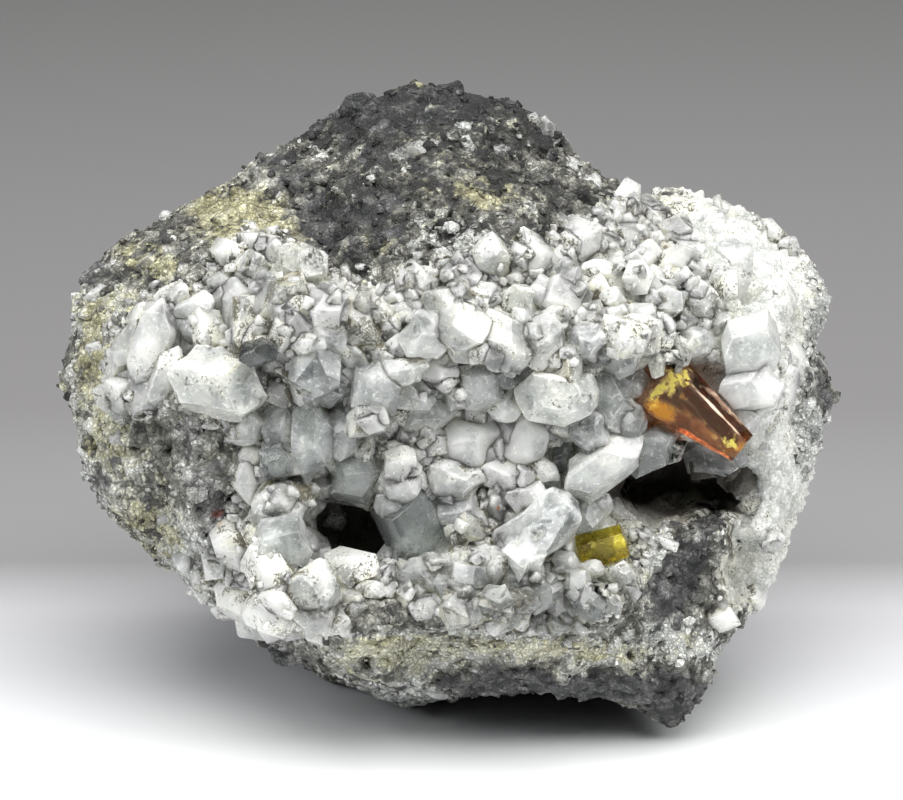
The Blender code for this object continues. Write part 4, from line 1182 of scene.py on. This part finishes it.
# The bright etched face of the large crystal low in the pocket: its corners in pixels
etchedFace = {
    "corners": [(501, 549), (521, 568), (545, 554), (573, 508), (563, 503), (543, 514)],
    "middle": (536, 534),
    "gridSize": 14 * mm,  # the square that the outline is cut from, and its cells along a side
    "gridCells": 44,
    "stand": 0.75,  # mm in front of the crystals
    "thick": 1.6,
    "pits": 0.3,
    "softbox": Vector((0.02, -0.13, 0.45)),
}


def makeEtchedFace(name, tree):
    # A slab whose front mirrors the softbox to the eye, cut to the outline
    look = lookThrough(*etchedFace["middle"])
    middle = placeOnStone(tree, *etchedFace["middle"]) - look * etchedFace["stand"] * mm
    normal = (-look + (etchedFace["softbox"] - middle).normalized()).normalized()
    corners = []
    for corner in etchedFace["corners"]:
        way = lookThrough(*corner)
        corners.append(eyePlace + way * ((middle - eyePlace).dot(normal) / way.dot(normal)))
    deselectAll()
    cells = etchedFace["gridCells"]
    bpy.ops.mesh.primitive_grid_add(x_subdivisions=cells, y_subdivisions=cells, size=etchedFace["gridSize"])
    piece = bpy.context.object
    piece.name = name
    piece.matrix_world = Matrix.Translation(middle) @ alongWay(normal).to_4x4()
    bpy.ops.object.transform_apply(location=True, rotation=True, scale=True)
    bpy.ops.object.mode_set(mode="EDIT")
    for here, there in zip(corners, corners[1:] + corners[:1]):
        outward = (there - here).cross(normal).normalized()
        outward = outward if outward.dot(here - middle) > 0 else -outward
        cutOff(here, outward, fill=False)
    bpy.ops.object.mode_set(mode="OBJECT")
    places = placesOf(piece)
    pits = smoothStep(noiseAt(places, 1.1, 91.0), 0.12, 0.4)
    pits += 0.4 * smoothStep(noiseAt(places, 0.5, 92.0), 0.2, 0.4)
    movePlaces(piece, places - np.array(normal) * (pits * etchedFace["pits"] * mm)[:, None])
    putValues(piece, "dirtAndCreviceShade", pits * 0.5)
    applyModifier(piece, "SOLIDIFY", thickness=etchedFace["thick"] * mm, offset=-1.0)
    for name, value in (("tint", 0.1), ("edge", 0.0), ("rust", 0.0)):
        putValues(piece, name, np.full(len(piece.data.vertices), value))
    return piece


finishPiece(makeEtchedFace("etchedFace", solidTree(*bigPieces)), crystalMaterial, 35)
crumbs = crumbsOnBorder("borderCrumbs")
heroTree = solidTree(*bigPieces)
mediumPiece = strewCrystals("mediumCrystals", strewn["medium"], mediumModels, bedTree, heroTree)
groundTree = solidTree(calciteBed, mediumPiece)
smallPiece = strewCrystals("smallCrystals", strewn["small"], smallModels, groundTree, heroTree)
everyTree = solidTree(calciteBed, shaleBody, mediumPiece, smallPiece, crumbs, *bigPieces)
for piece in [mediumPiece, smallPiece, crumbs] + bigPieces:
    paintDirtAndCreviceShade(piece, soils.get(piece.name, 0.4), everyTree)
    finishPiece(piece, crystalMaterial, 40 if piece in bigPieces else 72)
print("small crystals ready")


# Parisite


def makeParisiteMaterial(name, look):
    material, tree, shader, place = newMaterial(name)
    cloud = noiseOf(tree, place, 900.0, 5.0)["Fac"]
    cells = useGroup(tree, grainGroup, {"Vector": place, "Grains per metre": 2300.0})
    veil = stretch(tree, cloud, 0.3, 0.7, -0.22, 0.22)
    colour, clearness = (*look["clear"], 1), 1.0
    # the glow zone paints light shining through the crystal, and the sheen zone a painted highlight
    for zone, cost in (("glow", 0.35), ("core", 0.25), ("paintedSheen", 0.6), ("dust", 0.8)):
        strength = maths(tree, "ADD", attribute(tree, zone), veil)
        if zone == "dust":
            strength = maths(tree, "ADD", strength, stretch(tree, cells["Number"], 0.0, 1.0, -0.3, 0.3))
        share = stretch(tree, strength, 0.3, 0.75)
        colour = mixColours(tree, share, colour, (*look[zone], 1))
        clearness = takeShare(tree, clearness, share, cost, clamp=True)
    tree.links.new(colour, shader.inputs["Base Color"])
    tree.links.new(clearness, shader.inputs["Transmission Weight"])
    rough = stretch(tree, cloud, 0.35, 0.7, 0.02, 0.08)
    tree.links.new(addShare(tree, rough, share, 0.3), shader.inputs["Roughness"])
    addBump(tree, shader, addShare(tree, cloud, cells["Height"], 0.4), 0.14, 0.08 * mm)
    setShader(shader, IOR=1.5, Specular_IOR_Level=0.3, Specular_Tint=(1.0, 0.75, 0.5, 1.0))
    absorb = {"Color": (*look["depth"], 1), "Density": look["density"]}
    inside = addNode(tree, "ShaderNodeVolumeAbsorption", absorb)
    tree.links.new(inside.outputs[0], tree.nodes["Material Output"].inputs["Volume"])
    return material


# the glow colours paint light shining through the crystal, and the sheen colours a painted highlight
parisiteMaterial = makeParisiteMaterial("clearBrownParisite", {
    "clear": (0.52, 0.30, 0.19), "glow": (0.95, 0.42, 0.03), "core": (0.06, 0.010, 0.005),
    "paintedSheen": (0.88, 0.70, 0.55), "dust": (0.62, 0.53, 0.11), "depth": (0.86, 0.62, 0.42), "density": 560.0})
oliveMaterial = makeParisiteMaterial("oliveParisite", {
    "clear": (0.66, 0.60, 0.11), "glow": (0.92, 0.80, 0.08), "core": (0.24, 0.21, 0.02),
    "paintedSheen": (0.86, 0.80, 0.40), "dust": (0.62, 0.54, 0.12), "depth": (0.80, 0.72, 0.08), "density": 420.0})

# Zones painted on the two crystals, with painted glow and painted highlight among them: (u, v, reach along,
# reach across, turn, strength)
parisiteZones = {
    "clearParisite": {
        # painted glow: light shining through the thin parts, painted as bright orange
        "glow": [(662, 410, 20, 12, -25, 0.9), (742, 448, 14, 8, -46, 0.7), (700, 425, 30, 6, -35, 0.45),
                 (684, 392, 10, 8, 0, 0.6)],
        # painted highlight along the ridge, and painted sheen on the face right of it
        "paintedSheen": [(714, 408, 44, 1.6, -46, 0.85), (721, 402, 42, 5, -46, 0.5)],
        "core": [(702, 406, 34, 7, -46, 1.3), (724, 430, 22, 7, -46, 1.1), (664, 396, 12, 6, 30, 0.5)],
        "dust": [(668, 384, 26, 9, 42, 0.95), (690, 377, 12, 5, -46, 0.4), (727, 443, 6, 8, 0, 0.95),
                 (735, 447, 5, 4, 0, 0.6)],
    },
    "shortParisite": {
        # painted glow through the thin end
        "glow": [(620, 542, 10, 10, 0, 0.8), (590, 556, 6, 8, 0, 0.4)],
        # painted highlight along the top edge
        "paintedSheen": [(606, 543, 16, 1.6, 8, 0.6)],
        "core": [(602, 552, 16, 8, 10, 0.6)],
        "dust": [(618, 539, 9, 6, 0, 0.5), (592, 545, 7, 8, 0, 0.3)],
    },
}


def dressParisite(nodeName, newName, material, bevel, lines):
    piece = copyOfNode(nodeName, newName)
    bevelled(piece, bevel * mm, 2, 25)
    subdivided(piece, number_cuts=9)
    places, normals = placesOf(piece), normalsOf(piece)
    middle = places.mean(axis=0)
    longAxis = np.linalg.svd(places - middle, full_matrices=False)[2][0]
    along = (places - middle) @ longAxis / mm
    grooves = np.sin(along * lines) * 0.5 + np.sin(along * lines * 2.7 + 1.0) * 0.3
    grooves += noiseAt(places, 0.8, 3.0) * 0.5
    side = 1 - smoothStep(np.abs(normals @ longAxis), 0.5, 0.8)
    movePlaces(piece, places + normals * (grooves * side * 0.035 * mm)[:, None])
    u, v, _ = pixelsOf(places)
    for zone, patches in parisiteZones[newName].items():
        putValues(piece, zone, patchStrength(patches, u, v))
    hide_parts(nodeName)
    return finishPiece(piece, material, 30)


dressParisite("parisite_crystal", "clearParisite", parisiteMaterial, 0.10, 9.0)
dressParisite("small_parisite_crystal", "shortParisite", oliveMaterial, 0.12, 8.0)
print("parisite ready")


# Loose grit grown on the rock

# Dark and pale blocks that stand out of the rock: (u, v, long, wide, turn, lean, tint, shale)
rockBlocks = [
    (362, 113, 46, 38, 10, 20, 0.12, 1.2), (322, 132, 30, 22, 30, 20, 0.0, 1.0),
    (822, 402, 26, 20, 60, 20, 0.1, 1.0), (291, 655, 46, 22, -12, 10, 0.05, 1.1),
    (316, 208, 22, 34, 80, 20, 0.0, 1.0), (93, 274, 34, 14, 38, 10, 0.2, 0.9),
    (448, 92, 34, 20, 10, 20, 0.0, 1.0), (505, 110, 30, 20, -20, 20, 0.1, 0.8),
    (400, 128, 24, 18, 20, 20, -0.1, 1.0), (655, 590, 34, 26, 50, 20, 0.1, 1.0),
    (690, 555, 28, 22, 60, 20, 0.0, 1.0), (672, 620, 26, 22, 20, 20, 0.1, 1.0),
    (640, 690, 40, 24, -10, 10, 0.05, 1.1), (560, 682, 44, 20, 5, 10, 0.05, 1.1),
    (150, 265, 30, 18, 30, 20, 0.2, 0.5), (196, 420, 26, 18, 70, 20, 0.3, 0.7),
    (220, 520, 26, 22, 60, 20, 0.3, 0.8), (232, 246, 26, 22, 20, 20, 0.4, 0.0),
    (460, 178, 30, 20, -15, 20, 0.3, 0.3), (540, 180, 28, 20, 10, 20, 0.1, 0.4),
    (100, 500, 30, 20, 50, 10, 0.2, 0.3),
]


def makeBlocks():
    chance = random.Random(8)
    built = bigCrystalRows(rockBlocks, chance)
    piece = copiesOf("rockBlocks", bigModels, [row[:4] for row in built])
    paintRock(piece)
    shale = np.concatenate([np.full(len(bigModels[row[0]].data.vertices), row[4]) for row in built])
    putValues(piece, "shale", shale)
    return finishPiece(piece, rockMaterial, 40)


gritLook = {
    "rockLumps": {"count": 420, "size": (0.9, 2.3), "seed": 53, "sunk": 0.2},
    "darkGrit": {"count": 900, "size": (0.25, 0.7), "seed": 51, "sunk": -0.05},
    "paleGrit": {"count": 1800, "size": (0.22, 0.65), "seed": 52, "sunk": -0.05},
}


def strewGrit(name, models, wantedShare):
    settings = gritLook[name]
    chance = random.Random(settings["seed"])
    mesh = shaleBody.data
    areas = np.empty(len(mesh.polygons))
    mesh.polygons.foreach_get("area", areas)
    centres = np.array([face.center for face in mesh.polygons])
    normals = np.array([face.normal for face in mesh.polygons])
    corners = np.array([face.vertices[0] for face in mesh.polygons])
    weights = areas * wantedShare(corners) * (centres[:, 2] > 1.5 * mm)
    ladder = np.cumsum(weights)
    rows = []
    for _ in range(settings["count"]):
        face = int(np.searchsorted(ladder, chance.random() * ladder[-1]))
        size = chance.uniform(*settings["size"]) * mm
        turned = alongWay(gaussWay(chance))
        turned = turned @ Matrix.Diagonal((size, size * 0.8, size * chance.uniform(0.8, 1.3)))
        middle = Vector(centres[face]) - Vector(normals[face]) * size * settings["sunk"]
        rows.append((chance.randrange(len(models)), turned, middle, chance.gauss(0, 0.25)))
    return copiesOf(name, models, rows)


shaleShare = smoothStep(valuesOf(shaleBody, "shale"), 0.3, 0.6)
outside = 1 - smoothStep(valuesOf(shaleBody, "insideBy"), -0.3, 0.2)
_, _, bodyDeep = pixelsOf(placesOf(shaleBody))
front = 0.25 + 0.75 * smoothStep(-bodyDeep, -12, -6)
rockLumps = strewGrit("rockLumps", mediumModels, lambda at: ((1.05 - 0.8 * shaleShare) * outside * front)[at])
paleGrit = strewGrit("paleGrit", grainModels, lambda at: ((1.05 - shaleShare) * outside * front)[at])
darkGrit = strewGrit("darkGrit", grainModels, lambda at: ((0.35 + shaleShare) * outside * front)[at])
makeBlocks()
for model in bigModels + mediumModels + smallModels + grainModels:
    bpy.data.objects.remove(model)
for piece in (rockLumps, paleGrit, darkGrit):
    paintRock(piece)
putValues(darkGrit, "shale", valuesOf(darkGrit, "shale") + 0.35)
putValues(paleGrit, "white", valuesOf(paleGrit, "white") + valuesOf(paleGrit, "tint") * 0.8 + 0.1)
putValues(paleGrit, "shale", valuesOf(paleGrit, "shale") - 0.25)
putValues(rockLumps, "white", valuesOf(rockLumps, "white") + valuesOf(rockLumps, "tint") * 1.2)
for piece in (rockLumps, paleGrit, darkGrit):
    finishPiece(piece, rockMaterial, 40)
print("grit ready")


# Floor, light and camera

# Painted light falloff on the paper, from in front of the origin to behind it: bright in front, darker behind
floorReach = (-30 * mm, 370 * mm)
floorPaintedFalloff = [
    (0.0, (0.84, 0.85, 0.86)), (0.05, (0.72, 0.73, 0.745)), (0.10, (0.66, 0.665, 0.69)),
    (0.13, (0.58, 0.58, 0.605)), (0.165, (0.30, 0.297, 0.303)), (0.30, (0.235, 0.23, 0.235)),
    (0.55, (0.27, 0.265, 0.27)), (0.95, (0.31, 0.31, 0.31)),
]


def makeFloor():
    deselectAll()
    bpy.ops.mesh.primitive_plane_add(size=4.0, location=(0, 0, 0))
    floor = bpy.context.object
    floor.name = "paleFloor"
    material, tree, shader, place = newMaterial("palePaper")
    apart = addNode(tree, "ShaderNodeSeparateXYZ", {"Vector": place}).outputs
    # painted light falloff along Y
    colour = ramp(tree, stretch(tree, apart["Y"], *floorReach), floorPaintedFalloff)
    tree.links.new(colour, shader.inputs["Base Color"])
    setShader(shader, Roughness=0.6)
    floor.data.materials.append(material)
    floor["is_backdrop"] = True


def addLight(name, width, depth, energy, place, target, colour=(1, 1, 1)):
    light = bpy.data.lights.new(name, "AREA")
    light.shape, light.size, light.size_y = "RECTANGLE", width, depth
    light.energy, light.color = energy, colour
    lamp = bpy.data.objects.new(name, light)
    lamp.location = place
    lamp.rotation_euler = (Vector(target) - Vector(place)).to_track_quat("-Z", "Y").to_euler()
    bpy.context.scene.collection.objects.link(lamp)


makeFloor()
addLight("topSoftbox", 0.55, 0.40, 4.1, tuple(etchedFace["softbox"]), (0, 0, 0.02), (1.0, 0.995, 0.98))
addLight("leftSoftbox", 0.30, 0.30, 1.6, (-0.46, -0.22, 0.36), (0, 0, 0.02), (0.98, 0.99, 1.0))
addLight("rightSoftbox", 0.30, 0.30, 1.9, (0.46, -0.22, 0.38), (0, 0, 0.02), (1.0, 0.995, 0.985))

world = bpy.data.worlds.new("studio")
bpy.context.scene.world = world
world.use_nodes = True
world.node_tree.nodes["Background"].inputs[0].default_value = (0.95, 0.97, 1.0, 1)
world.node_tree.nodes["Background"].inputs[1].default_value = 0.006

lens = bpy.data.cameras.new("camera")
camera = bpy.data.objects.new("camera", lens)
bpy.context.scene.collection.objects.link(camera)
lens.sensor_width = 36.0
lens.lens = 36.0 * eyeView["eyeDistance"] / (eyeView["pictureWidth"] * eyeView["mmPerPixel"])
lens.shift_x = (eyeView["pictureWidth"] / 2 - eyeView["middleU"]) / eyeView["pictureWidth"]
lens.clip_start = 0.01
camera.location = eyePlace
camera.rotation_euler = (onFace(0, 0) - eyePlace).to_track_quat("-Z", "Y").to_euler()
bpy.context.scene.camera = camera
bpy.context.scene.view_settings.view_transform = "Standard"

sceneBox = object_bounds()
overBox = [[round((b - a) / mm, 2) for a, b in zip(*pair)] for pair in zip(cadBox, sceneBox)]
print("size over the frame, mm:", overBox)
